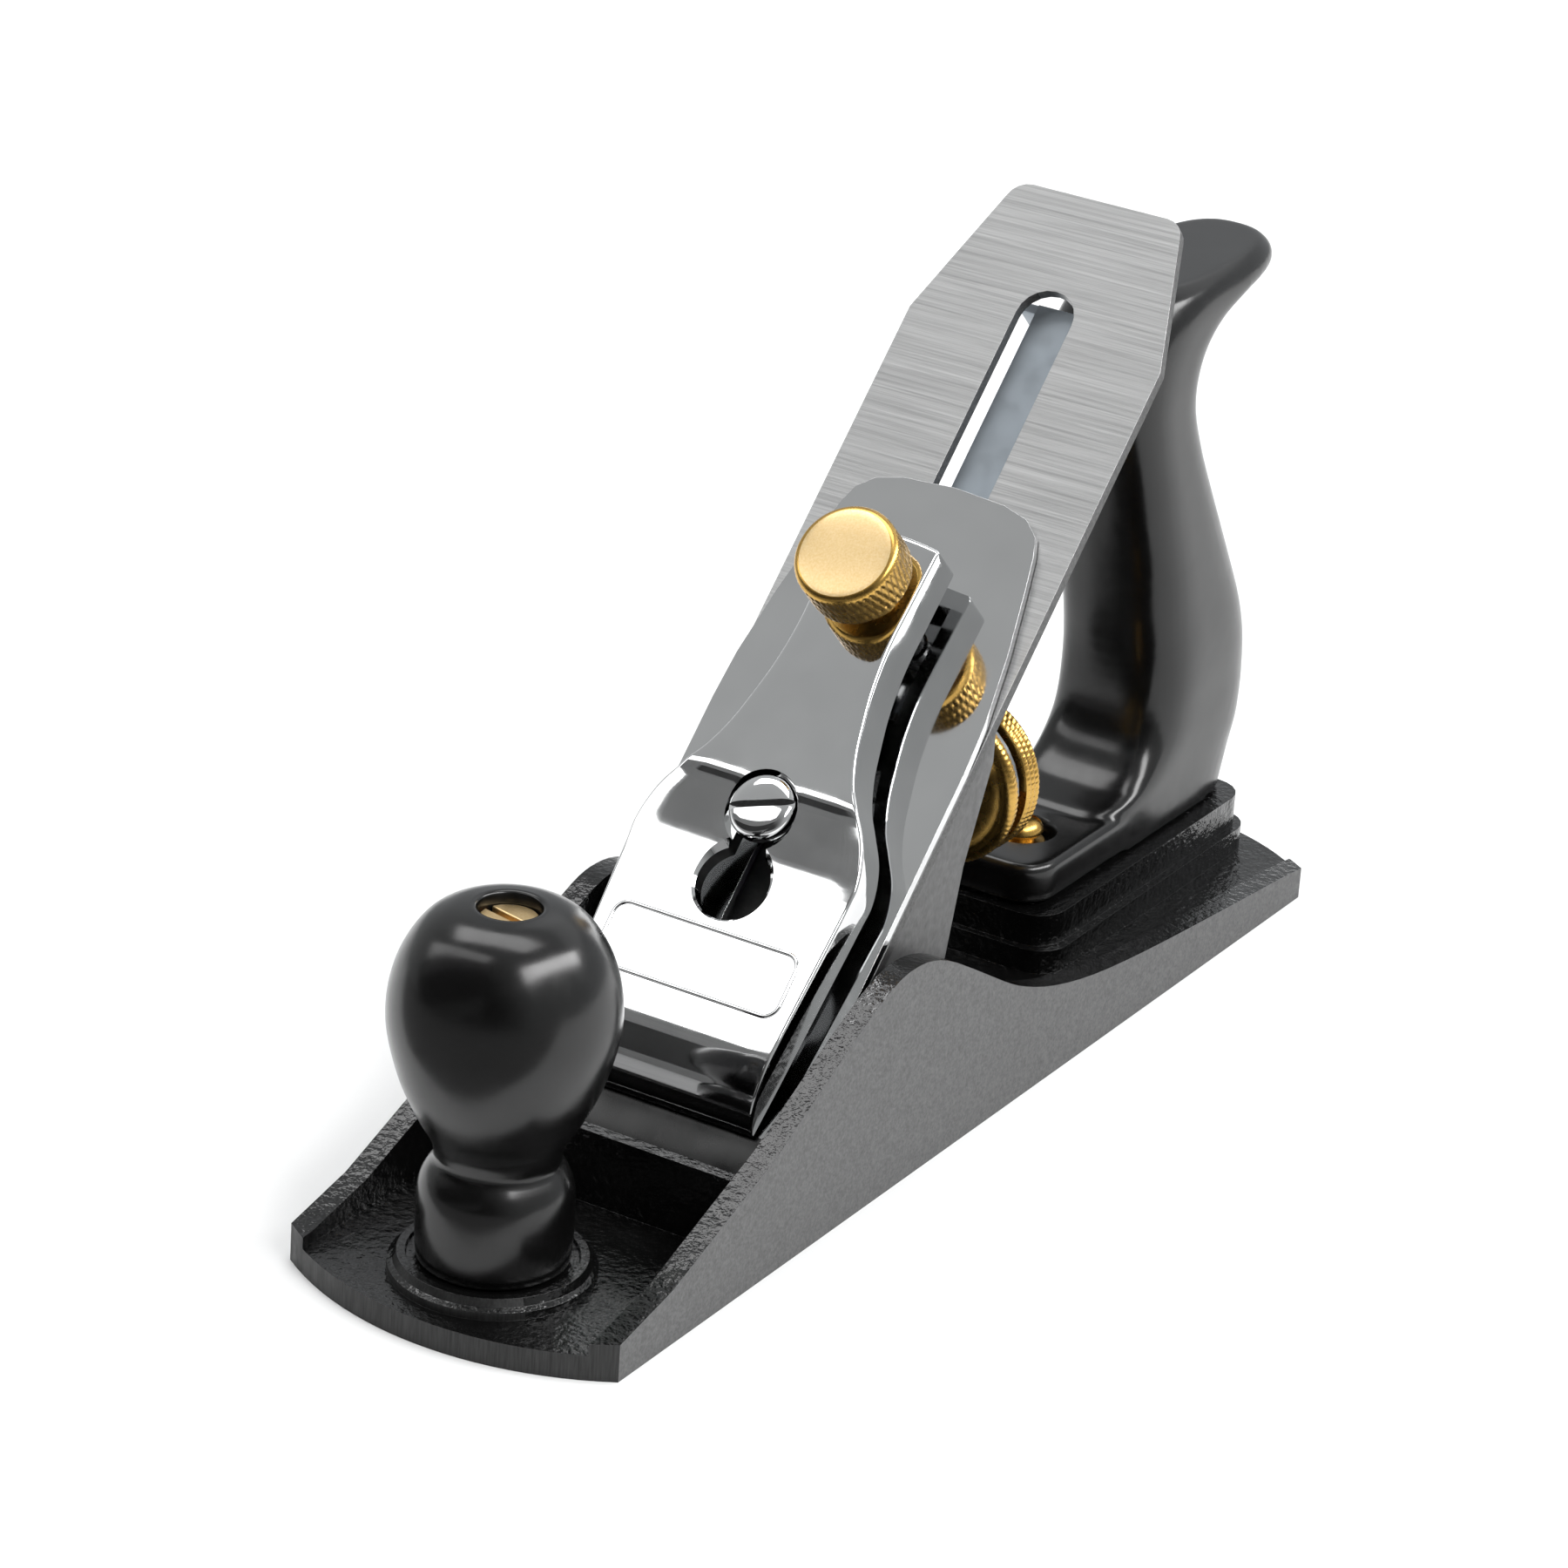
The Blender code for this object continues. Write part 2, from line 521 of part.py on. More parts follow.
def build_frog():
    low = FROG_SEAT_Z
    front = MOUTH_Y + low - FROG_FACE_W / math.cos(BED_ANGLE)
    back = FROG_BACK_Y
    wedge = [(front, low), (back - 5 * MM, low), (back - 3 * MM, 28 * MM), (back + 1.5 * MM, 46 * MM),
             (back + 9 * MM, 63 * MM), (back + 9 * MM, frog_face_z(back + 9 * MM))]
    frog = side_plate("frog", wedge, -FROG_HALF, FROG_HALF)
    tongue_low, tongue_high = -12 * MM, FROG_FACE_W
    tongue = plate("tongue", round_rectangle(FROG_TONGUE_HALF, FROG_TOP_S, 60 * MM, 6 * MM, 4),
                   tongue_low, tongue_high, bed_matrix())
    stud_boss = cylinder("stud_boss", 6.5 * MM, 0, 24 * MM,
                         Matrix.Translation((0, FROG_BACK_Y + 14 * MM, WHEEL_Z))
                         @ Matrix.Rotation(math.radians(90), 4, "X"), 24)
    web = [(back - 20 * MM, low), (back + 6 * MM, low), (back + 14 * MM, WHEEL_Z - 4 * MM),
           (back + 14 * MM, WHEEL_Z + 5 * MM), (back + 2 * MM, frog_face_z(back + 2 * MM) - 12 * MM),
           (back - 20 * MM, frog_face_z(back - 20 * MM) - 4 * MM)]
    pocket_roof = -11 * MM
    pocket_front = MOUTH_Y + FROG_FLOOR_Z - pocket_roof / math.cos(BED_ANGLE)
    pocket = [(pocket_front, FROG_FLOOR_Z), (back + 11 * MM, FROG_FLOOR_Z),
              (back + 11 * MM, frog_face_z(back + 11 * MM, pocket_roof))]
    wall = FROG_HALF - 4 * MM
    cut(frog, side_plate("pocket_left", pocket, -wall, -3.2 * MM),
        side_plate("pocket_right", pocket, 3.2 * MM, wall))
    add(frog, tongue, stud_boss, side_plate("web", web, -3.2 * MM, 3.2 * MM))
    cutters = []
    for side in (-1, 1):
        place = Matrix.Translation((side * FROG_SCREW_X, FROG_SCREW_Y, 0))
        cutters.append(cylinder("screw_recess", 6.9 * MM, FROG_FLOOR_Z, 60 * MM, place, 24))
        cutters.append(box("screw_slot", (-3 * MM, -4.2 * MM, 0), (3 * MM, 4.2 * MM, 20 * MM), place))
    cutters.append(box("lever_channel", (-7.5 * MM, 112.5 * MM, -6.6 * MM),
                       (7.5 * MM, 140 * MM, 0), bed_matrix()))
    cutters.append(box("screw_channel", (-8 * MM, 78 * MM, -6.6 * MM), (8 * MM, 101 * MM, 0), bed_matrix()))
    cutters.append(cylinder("cap_screw_hole", 3 * MM, -14 * MM, 0, bed_matrix(CAP_SCREW_S), 20))
    cutters.append(cylinder("pivot_hole", 1.8 * MM, -10 * MM, 0, bed_matrix(PIVOT_S), 16))
    cutters.append(box("yoke_window", (-4.4 * MM, YOKE_Y - 11 * MM, YOKE_Z - 26 * MM),
                       (4.4 * MM, YOKE_Y + 9 * MM, YOKE_Z + 30 * MM)))
    turn_x = Matrix.Rotation(math.radians(90), 4, "Y")
    cutters.append(cylinder("pin_hole", 1.8 * MM, -13 * MM, 13 * MM,
                            Matrix.Translation((0, YOKE_Y, YOKE_Z)) @ turn_x, 16))
    turn_y = Matrix.Rotation(math.radians(-90), 4, "X")
    cutters.append(cylinder("stud_hole", 3 * MM, -8 * MM, 30 * MM,
                            Matrix.Translation((0, FROG_BACK_Y, WHEEL_Z)) @ turn_y, 20))
    cut(frog, *cutters)
    finish(frog, GREY_PAINT)
    for label, side in (("right", -1), ("left", 1)):
        place = Matrix.Translation((side * FROG_SCREW_X, FROG_SCREW_Y, 0))
        washer_top = FROG_FLOOR_Z + 1.5 * MM
        washer = cylinder("frog_washer_" + label, 5.2 * MM, FROG_FLOOR_Z + GAP, washer_top, place, 24)
        cut(washer, cylinder("washer_hole", 2.8 * MM, 0, 30 * MM, place, 20))
        finish(washer, ZINC)
        head = FROG_FLOOR_Z + 1.5 * MM + GAP
        screw = turned("frog_screw_" + label,
                       [(0, head + 3.2 * MM), (4.4 * MM, head + 3.2 * MM), (4.6 * MM, head + 3 * MM),
                        (4.6 * MM, head), (2.4 * MM, head), (2.4 * MM, 1.9 * MM), (0, 1.9 * MM)], place, 24)
        slotted_head(screw, 4.6 * MM, head + 3.2 * MM, 1.3 * MM, 1.4 * MM, place)
        finish(screw, STEEL)


# ---- depth adjuster ----------------------------------------------------------------------------
def build_depth_adjuster():
    along_y = Matrix.Rotation(math.radians(-90), 4, "X")
    stud = cylinder("depth_stud", 2.6 * MM, 1.4 * MM, WHEEL_Y + WHEEL_WIDTH + 6 * MM - FROG_BACK_Y,
                    Matrix.Translation((0, FROG_BACK_Y, WHEEL_Z)) @ along_y, 20)
    finish(stud, STEEL)
    place = Matrix.Translation((0, WHEEL_Y, WHEEL_Z)) @ along_y
    bush = turned("wheel_bush", [(BUSH_RADIUS, WHEEL_WIDTH), (BUSH_RADIUS, 0), (2.9 * MM, 0),
                                 (2.9 * MM, WHEEL_WIDTH), (BUSH_RADIUS, WHEEL_WIDTH)], place, 24)
    finish(bush, BRASS)
    r, d, width = WHEEL_RADIUS, 1 * MM, WHEEL_WIDTH
    groove_end = GROOVE_START + GROOVE_WIDTH
    bore = BUSH_RADIUS + GAP
    half = [(bore, width), (r - d, width), (r, width - d), (r, groove_end), (GROOVE_RADIUS, groove_end),
            (GROOVE_RADIUS, GROOVE_START), (r - d, GROOVE_START), (r - d, d * 0.5), (r - 1.5 * d, 0),
            (bore, 0), (bore, width)]
    wheel = turned("depth_wheel", half, place, 48)
    finish(wheel, BRASS, (0, WHEEL_Y, WHEEL_Z))

    pivot = Vector((0, YOKE_Y, YOKE_Z))
    fork_y = WHEEL_Y + GROOVE_START + GROOVE_WIDTH / 2 - YOKE_Y
    hub = cylinder("depth_yoke", 4.6 * MM, -3.9 * MM, 3.9 * MM,
                   Matrix.Translation(pivot) @ Matrix.Rotation(math.radians(90), 4, "Y"), 24)
    tip = bed_offset(pivot)
    finger = box("finger", (-2.6 * MM, -1.8 * MM, 0), (2.6 * MM, 1.8 * MM, tip + 1.4 * MM),
                 Matrix.Translation(pivot) @ Matrix.Rotation(BED_ANGLE, 4, "X"))
    arm = millimetres([(0, 4.2), (fork_y / MM + 0.7, 0.5), (fork_y / MM + 0.7, -12), (fork_y / MM - 0.7, -12),
                       (fork_y / MM - 0.7, -5), (fork_y / MM - 3, -3.4), (0, -4.2)])
    arm = [(y + YOKE_Y, z + YOKE_Z) for y, z in arm]
    lever = side_plate("arm", arm, -3.9 * MM, 3.9 * MM)
    across = Matrix.Translation((0, YOKE_Y + fork_y, WHEEL_Z)) @ Matrix.Rotation(math.radians(90), 4, "X")
    fork_outline = arc((0, 0), FORK_OUTER, 0, 180, 14) + arc((0, 0), FORK_INNER, 180, 0, 14)
    fork = plate("fork", fork_outline, -0.7 * MM, 0.7 * MM, across)
    add(hub, finger, lever, fork)
    cut(hub, cylinder("yoke_bore", 1.8 * MM, -6 * MM, 6 * MM,
                      Matrix.Translation(pivot) @ Matrix.Rotation(math.radians(90), 4, "Y"), 16))
    finish(hub, ZINC, pivot)
    pin = cylinder("yoke_pin", 1.5 * MM, -11 * MM, 11 * MM,
                   Matrix.Translation(pivot) @ Matrix.Rotation(math.radians(90), 4, "Y"), 16)
    finish(pin, STEEL)


def bed_offset(point):
    """Distance from a point up to the iron's upper face, square to the bed."""
    return -(point - MOUTH).dot(OFF_BED)


# ---- iron and cap iron -------------------------------------------------------------------------
def iron_outline():
    half, top = IRON_WIDTH / 2, IRON_LENGTH
    corner = 4 * MM
    points = [(-half, IRON_START), (half, IRON_START), (half, IRON_CLIP_START)]
    points += arc((IRON_CLIP_HALF - corner, top - corner), corner, 12, 90, 4)
    points += arc((-IRON_CLIP_HALF + corner, top - corner), corner, 90, 168, 4)
    return points + [(-half, IRON_CLIP_START)]


def slot_outline(half, start, end, steps=10):
    return arc((0, end), half, 0, 180, steps) + arc((0, start), half, 180, 360, steps)


def cap_iron_outline():
    """Full width near the edge, narrowing to a rounded upper end."""
    right = [(25, 1.5), (25, 90), (24.6, 99), (22.9, 112), (20.6, 124), (19.2, 130.5)]
    corner = [(17.9, 134.0), (15.0, 136.6), (10.0, 138.0)]
    upper = right + corner + [(0, CAP_IRON_TOP / MM)]
    return millimetres(upper + [(-x, s) for x, s in upper[-2::-1]])


def cap_iron_side():
    """Side view (s, w): a low hump behind the edge, then flat."""
    gap, t = GAP / MM, CAP_IRON_THICKNESS / MM
    lower = [(1.6, gap), (4, 0.9), (8, 2.0), (13, 2.6), (19, 2.2), (25, 1.1), (31, gap)]
    upper = [(31, gap + t), (25, 2.7), (19, 3.8), (13, 4.2), (8, 3.5), (4, 2.0), (1.9, 0.6)]
    return millimetres(lower + [(140, gap), (140, gap + t)] + upper)


def build_iron():
    frame = bed_matrix()
    iron = plate("blade", iron_outline(), -IRON_THICKNESS, 0, frame)
    bevel_length = 5 * MM
    wedge = [(IRON_START - MM, -IRON_THICKNESS - MM),
             (IRON_START + bevel_length, -IRON_THICKNESS - MM),
             (IRON_START + bevel_length, -IRON_THICKNESS),
             (IRON_START, -0.15 * MM),
             (IRON_START - MM, -0.15 * MM)]
    cut(iron, plate("grind", wedge, -30 * MM, 30 * MM, frame @ ALONG_BED),
        plate("slot", slot_outline(SLOT_HALF, SLOT_BOTTOM, SLOT_TOP), -5 * MM, 5 * MM, frame),
        cylinder("slot_eye", 8.5 * MM, -5 * MM, 5 * MM, bed_matrix(SLOT_BOTTOM), 32))
    origin = bed(IRON_SCREW_S, 0)
    finish(iron, STEEL, origin)
    cap = plate("cap_iron", cap_iron_outline(), -MM, 8 * MM, frame)
    keep_common(cap, plate("cap_side", cap_iron_side(), -30 * MM, 30 * MM, frame @ ALONG_BED))
    cut(cap, plate("cap_slot", slot_outline(4.6 * MM, 52 * MM, 76 * MM), -MM, 9 * MM, frame),
        box("yoke_slot", (-3.4 * MM, YOKE_SLOT_S - 3.4 * MM, -MM),
            (3.4 * MM, YOKE_SLOT_S + 3.4 * MM, 6 * MM), frame),
        cylinder("screw_hole", 3.1 * MM, -MM, 6 * MM, bed_matrix(IRON_SCREW_S), 20))
    finish(cap, CHROME, origin)
    screw = turned("cap_iron_screw", millimetres([
        (0, 2.4), (2.6, 2.4), (2.8, 2.2), (2.8, -2.5), (5.8, -2.5), (6.0, -2.7), (6.0, -4.8),
        (5.6, -5.2), (0, -5.2)]), bed_matrix(IRON_SCREW_S), 28)
    cut(screw, box("slot", (-8 * MM, -0.7 * MM, -7 * MM), (8 * MM, 0.7 * MM, -3.9 * MM),
                   bed_matrix(IRON_SCREW_S)))
    finish(screw, STEEL, origin)


# ---- lever cap ---------------------------------------------------------------------------------
def lever_cap_outline():
    """Plan view: wide over the nose, waisted above the screw, parallel at the thumbscrew."""
    right = [(20.0, 18.6), (21.0, 40), (21.8, 57), (21.9, 62.5), (20.2, 68.5), (17.2, 73.4),
             (14.6, 77.4), (12.4, 82.8), (11.0, 88.4), (9.7, 95), (9.0, 103), (9.5, CAP_TOP_S / MM)]
    upper = [right[0], *smooth_line(right[1:], 2), (0, CAP_TOP_S / MM + 0.9)]
    return millimetres(upper + [(-x, s) for x, s in upper[-2::-1]])


def lever_cap_side():
    """Side view (s, w): sloping nose, flat label face, step at the screw and the raised upper part."""
    top = [(18.6, 4.9), (20.6, 7.6), (24.5, 10.3), (29.0, 11.9), (33.0, 12.3), (64.5, 12.5), (66.5, 12.7),
           (72.0, 14.7), (74.0, 15.1), (78, PLATEAU_W / MM), (126, PLATEAU_W / MM)]
    under = [(126, 6.6), (28, 4.6), (18.6, 4.6)]
    return millimetres(top + under)


def lever_cap_core():
    """Hollow of the casting, seen from below: (s, w) of the space under the top wall."""
    return millimetres([(34, 4), (34, 9.0), (60, 9.2), (76, 9.2), (80, 11.6), (124, 11.6), (124, 4)])


def build_lever_cap():
    frame = bed_matrix()
    cap = plate("lever_cap", lever_cap_outline(), 2 * MM, 20 * MM, frame)
    keep_common(cap, plate("cap_side", lever_cap_side(), -30 * MM, 30 * MM, frame @ ALONG_BED))
    inner = [(x * 0.8 if abs(s) < 0.2 else x - math.copysign(2.6 * MM, x) if x else 0, s)
             for x, s in lever_cap_outline()]
    core = plate("core", inner, 3 * MM, 19 * MM, frame)
    keep_common(core, plate("core_side", lever_cap_core(), -30 * MM, 30 * MM, frame @ ALONG_BED))
    core_end = box("core_end", (-20 * MM, 119.4 * MM, 0), (20 * MM, 130 * MM, 20 * MM), frame)
    cut(core, core_end)
    cutters = [core,
               cylinder("keyhole", KEYHOLE_RADIUS, 0, 20 * MM, bed_matrix(KEYHOLE_S), 32),
               box("keyhole_neck", (-3.6 * MM, KEYHOLE_S, 0), (3.6 * MM, CAP_SCREW_S, 20 * MM), frame),
               cylinder("keyhole_end", 3.6 * MM, 0, 20 * MM, bed_matrix(CAP_SCREW_S), 20),
               plate("screw_seat",
                     slot_outline(CAP_SCREW_HEAD_RADIUS + 0.7 * MM, KEYHOLE_S - 2 * MM, CAP_SCREW_S),
                     CAP_SCREW_SEAT_W, 20 * MM, frame),
               cylinder("thumb_hole", 3.2 * MM, 0, 20 * MM, bed_matrix(THUMB_S), 20)]
    cut(cap, *cutters)
    finish(cap, CHROME)
    seat = CAP_SCREW_SEAT_W + GAP
    head = 3.6 * MM
    profile = [(0, seat + head), (CAP_SCREW_HEAD_RADIUS - 0.5 * MM, seat + head),
               (CAP_SCREW_HEAD_RADIUS, seat + head - 0.5 * MM), (CAP_SCREW_HEAD_RADIUS, seat),
               (2.7 * MM, seat), (2.7 * MM, -13 * MM), (0, -13 * MM)]
    screw = turned("lever_cap_screw", profile, bed_matrix(CAP_SCREW_S), 32)
    slotted_head(screw, CAP_SCREW_HEAD_RADIUS, seat + head, 1.4 * MM, 1.6 * MM,
                 bed_matrix(CAP_SCREW_S) @ Matrix.Rotation(math.radians(20), 4, "Z"))
    finish(screw, CHROME)


def build_thumbscrew():
    axis = bed(THUMB_S, 0)
    base, top = THUMB_HEAD_BASE_W, THUMB_HEAD_BASE_W + THUMB_HEAD_HEIGHT
    r, d = THUMB_RADIUS, 0.6 * MM
    profile = [(0, top + 0.4 * MM), (r * 0.55, top + 0.2 * MM), (r - d, top), (r, top - d), (r, base + d),
               (r - d, base), (5 * MM, base), (5 * MM, base - 1.6 * MM), (3.1 * MM, base - 1.6 * MM),
               (3.1 * MM, base + 5 * MM), (0, base + 5 * MM)]
    finish(turned("thumbscrew_head", profile, bed_matrix(THUMB_S), 40), BRASS, axis)
    stud = turned("thumbscrew_stud", [(0, base + 4.7 * MM), (2.8 * MM, base + 4.7 * MM), (2.8 * MM, 3.2 * MM),
                                      (2.0 * MM, 2.3 * MM), (0, 2.3 * MM)], bed_matrix(THUMB_S), 20)
    finish(stud, STEEL, axis)


# ---- lateral adjuster --------------------------------------------------------------------------
def build_lateral_adjuster():
    origin = bed(PIVOT_S, -5 * MM)
    disc_s = PIVOT_S - LATERAL_ARM
    low, high = -5.9 * MM, -4.1 * MM
    nose = [(-p[0] / MM, p[1] / MM) for p in arc((0, disc_s), 4.8 * MM, 0, -180, 6)][1:-1]
    strip = [(-4.8, disc_s / MM), *nose,
             (4.8, disc_s / MM), (5.6, PIVOT_S / MM), (4.2, PIVOT_S / MM + 12), (4.2, 178), (-4.2, 178),
             (-4.2, PIVOT_S / MM + 12), (-5.6, PIVOT_S / MM)]
    lever = plate("lateral_lever", millimetres(strip), low, high, bed_matrix())
    tab = box("tab", (-8 * MM, 176.4 * MM, -14 * MM), (8 * MM, 178.4 * MM, low + MM), bed_matrix())
    soften(tab, 0.6 * MM, 2)
    add(lever, tab)
    cut(lever, cylinder("pivot_bore", 1.8 * MM, -8 * MM, 0, bed_matrix(PIVOT_S), 16),
        cylinder("disc_bore", 1.2 * MM, -8 * MM, 0, bed_matrix(disc_s), 12))
    finish(lever, ZINC, origin)
    disc = turned("lateral_disc", millimetres([(0, -0.4), (4.6, -0.4), (4.9, -0.7), (4.9, -3.8), (0.9, -3.8),
                                               (0.9, -5.8), (0, -5.8)]), bed_matrix(disc_s), 28)
    finish(disc, STEEL, origin)
    pin = turned("lateral_pin", millimetres([(0, -2.7), (2.6, -2.8), (2.9, -3.2), (2.9, -3.8), (1.5, -3.8),
                                             (1.5, -9.6), (0, -9.6)]), bed_matrix(PIVOT_S), 20)
    finish(pin, STEEL)


build_body()
build_knob()
build_tote()
build_frog()
build_depth_adjuster()
build_iron()
build_lever_cap()
build_thumbscrew()
build_lateral_adjuster()
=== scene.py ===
"""Looks of a metal bench plane of the No. 4 size.

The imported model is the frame.  Parts whose CAD shape is right keep it, with their edges eased, and the
knob, tote, lever cap, depth wheel, thumbscrew and screws that show curves or knurling are rebuilt on the
CAD's dimensions.  Every surface has a procedural finish.  Metres, +Z up, the toe towards -Y."""

import json
import math

import bmesh
import bpy
from mathutils import Matrix, Vector


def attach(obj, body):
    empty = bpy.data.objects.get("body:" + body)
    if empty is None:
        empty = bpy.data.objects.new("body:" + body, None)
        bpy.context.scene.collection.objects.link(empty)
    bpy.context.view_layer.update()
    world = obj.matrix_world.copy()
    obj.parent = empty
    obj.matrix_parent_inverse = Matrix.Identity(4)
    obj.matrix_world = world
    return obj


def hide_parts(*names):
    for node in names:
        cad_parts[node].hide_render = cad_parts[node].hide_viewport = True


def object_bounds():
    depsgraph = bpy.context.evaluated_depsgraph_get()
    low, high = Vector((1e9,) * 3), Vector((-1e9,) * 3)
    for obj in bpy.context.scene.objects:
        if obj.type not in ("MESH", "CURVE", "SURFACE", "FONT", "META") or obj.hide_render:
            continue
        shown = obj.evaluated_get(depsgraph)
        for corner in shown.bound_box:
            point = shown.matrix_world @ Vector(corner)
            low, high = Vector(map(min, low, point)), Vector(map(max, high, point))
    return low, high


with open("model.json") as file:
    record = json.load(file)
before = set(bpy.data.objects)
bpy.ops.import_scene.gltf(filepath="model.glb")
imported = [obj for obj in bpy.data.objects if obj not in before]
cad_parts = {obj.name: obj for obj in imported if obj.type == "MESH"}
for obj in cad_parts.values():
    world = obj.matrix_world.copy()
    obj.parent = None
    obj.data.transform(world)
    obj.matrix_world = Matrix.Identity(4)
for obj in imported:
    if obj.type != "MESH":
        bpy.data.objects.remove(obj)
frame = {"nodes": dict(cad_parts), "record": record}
CAD_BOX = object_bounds()
NODES = frame["nodes"]
BODIES = frame["record"]["behaviour"]["bodies"]
BODY_OF = {node: body for body, nodes in BODIES.items() for node in nodes}

MM = 0.001
BED_ANGLE = math.radians(45)
MOUTH_Y = -69.4                     # where the iron's upper face meets the sole; lengths here are in mm


def bed_matrix(s=0.0, w=0.0, x=0.0):
    """Frame at s up the bed and w above the iron: X across, Y up the bed, Z off it."""
    return (Matrix.Translation((0, MOUTH_Y * MM, 0)) @ Matrix.Rotation(BED_ANGLE, 4, "X")
            @ Matrix.Translation((x * MM, s * MM, w * MM)))


# ---- finishes ----------------------------------------------------------------------------------
class Finish:
    """A Principled material that takes layers of grain, in the part's own metres."""

    def __init__(self, name, colour, roughness, metallic=0.0, **sockets):
        self.material = bpy.data.materials.new(name)
        self.material.use_nodes = True
        self.tree = self.material.node_tree
        self.shader = self.tree.nodes["Principled BSDF"]
        self.shader.inputs["Base Color"].default_value = (*colour, 1)
        self.shader.inputs["Roughness"].default_value = roughness
        self.shader.inputs["Metallic"].default_value = metallic
        for socket, value in sockets.items():
            self.shader.inputs[socket.replace("_", " ")].default_value = value
        self.coordinates = self.tree.nodes.new("ShaderNodeTexCoord")
        self.last_bump = None

    def grain(self, size, detail=2.0, tilt=0.0, distortion=0.0):
        """Noise whose lumps are size = (x, y, z) mm, in axes tilted about X."""
        place = self.tree.nodes.new("ShaderNodeMapping")
        place.vector_type = "TEXTURE"
        place.inputs["Rotation"].default_value = (tilt, 0, 0)
        place.inputs["Scale"].default_value = tuple(length * MM for length in size)
        noise = self.tree.nodes.new("ShaderNodeTexNoise")
        noise.inputs["Scale"].default_value = 1.0
        noise.inputs["Detail"].default_value = detail
        noise.inputs["Distortion"].default_value = distortion
        self.tree.links.new(self.coordinates.outputs["Object"], place.inputs["Vector"])
        self.tree.links.new(place.outputs["Vector"], noise.inputs["Vector"])
        return noise.outputs["Fac"]

    def bump(self, height, depth):
        """Relief of depth mm from the lowest to the highest of height."""
        node = self.tree.nodes.new("ShaderNodeBump")
        node.inputs["Distance"].default_value = depth * MM
        self.tree.links.new(height, node.inputs["Height"])
        if self.last_bump is not None:
            self.tree.links.new(self.last_bump, node.inputs["Normal"])
        self.last_bump = node.outputs["Normal"]
        self.tree.links.new(self.last_bump, self.shader.inputs["Normal"])
        return self

    def ramp(self, value, low, high):
        node = self.tree.nodes.new("ShaderNodeMapRange")
        node.inputs["From Min"].default_value = 0.3
        node.inputs["From Max"].default_value = 0.7
        node.inputs["To Min"].default_value = low
        node.inputs["To Max"].default_value = high
        self.tree.links.new(value, node.inputs["Value"])
        return node.outputs["Result"]

    def rough(self, value, low, high):
        self.tree.links.new(self.ramp(value, low, high), self.shader.inputs["Roughness"])
        return self

    def tint(self, value, dark, light):
        mix = self.tree.nodes.new("ShaderNodeMix")
        mix.data_type = "RGBA"
        mix.inputs["A"].default_value = (*dark, 1)
        mix.inputs["B"].default_value = (*light, 1)
        self.tree.links.new(self.ramp(value, 0, 1), mix.inputs["Factor"])
        self.tree.links.new(mix.outputs["Result"], self.shader.inputs["Base Color"])
        return self


def grey(value, cast=0.0):
    """Neutral linear colour, or a bluish one with cast above 0."""
    return (value * (1 - cast), value, value * (1 + cast))


ENAMEL = Finish("enamel_over_casting", grey(0.008), 0.2)
ENAMEL.bump(ENAMEL.grain((2.0, 2.0, 2.0), 3), 0.26)
ENAMEL.bump(ENAMEL.grain((0.9, 0.9, 0.9), 2), 0.16)
ENAMEL.rough(ENAMEL.grain((4, 4, 4), 3), 0.10, 0.20)
ENAMEL.tint(ENAMEL.grain((9, 9, 9), 3), grey(0.002), grey(0.004))

GROUND = Finish("ground_iron", grey(0.30), 0.45, 0.75)
GROUND.tint(GROUND.grain((0.5, 0.5, 0.5), 3), grey(0.095), grey(0.145))
GROUND.rough(GROUND.grain((1.2, 1.2, 1.2), 3), 0.42, 0.56)
GROUND.bump(GROUND.grain((0.3, 7, 0.3), 2), 0.008)
GROUND.bump(GROUND.grain((0.4, 0.4, 0.4), 2), 0.01)

# Painted shade: the sole's end faces get the ground iron made several times darker than the flanks, standing
# in for the shade they face; their vertical grinding grain is real.
GROUND_ENDS_SHADED = Finish("ground_iron_ends_painted_shade", grey(0.06), 0.4, 0.6)
GROUND_ENDS_SHADED.tint(GROUND_ENDS_SHADED.grain((0.35, 0.35, 6), 3), grey(0.022), grey(0.042))
GROUND_ENDS_SHADED.rough(GROUND_ENDS_SHADED.grain((1.5, 1.5, 3), 3), 0.34, 0.5)
GROUND_ENDS_SHADED.bump(GROUND_ENDS_SHADED.grain((0.35, 0.35, 6), 2), 0.012)

BLACK_GLOSS = Finish("black_gloss_plastic", grey(0.006), 0.1)
BLACK_GLOSS.bump(BLACK_GLOSS.grain((7, 7, 7), 2), 0.03)
BLACK_GLOSS.rough(BLACK_GLOSS.grain((3, 3, 3), 3), 0.19, 0.24)
BLACK_GLOSS.tint(BLACK_GLOSS.grain((14, 14, 14), 2), grey(0.002), grey(0.004))

CHROME = Finish("chrome_plate", grey(0.70), 0.05, 1.0)
CHROME.bump(CHROME.grain((11, 11, 11), 1), 0.010)
CHROME.rough(CHROME.grain((5, 5, 5), 3), 0.03, 0.075)
CHROME.tint(CHROME.grain((18, 18, 18), 2), grey(0.66, 0.005), grey(0.72, 0.005))

BLADE_STEEL = Finish("ground_blade", grey(0.6), 0.36, 1.0)
BLADE_STEEL.tint(BLADE_STEEL.grain((26, 0.22, 2), 4, BED_ANGLE), grey(0.34), grey(0.47))
BLADE_STEEL.rough(BLADE_STEEL.grain((22, 0.5, 2), 3, BED_ANGLE), 0.30, 0.40)
BLADE_STEEL.bump(BLADE_STEEL.grain((22, 0.22, 2), 3, BED_ANGLE), 0.006)

BLADE_EDGE = Finish("blade_edge", grey(0.12), 0.45, 0.8)
BLADE_EDGE.tint(BLADE_EDGE.grain((2, 0.4, 0.4), 3, BED_ANGLE), grey(0.07), grey(0.12))
BLADE_EDGE.rough(BLADE_EDGE.grain((1, 1, 1), 3), 0.40, 0.55)
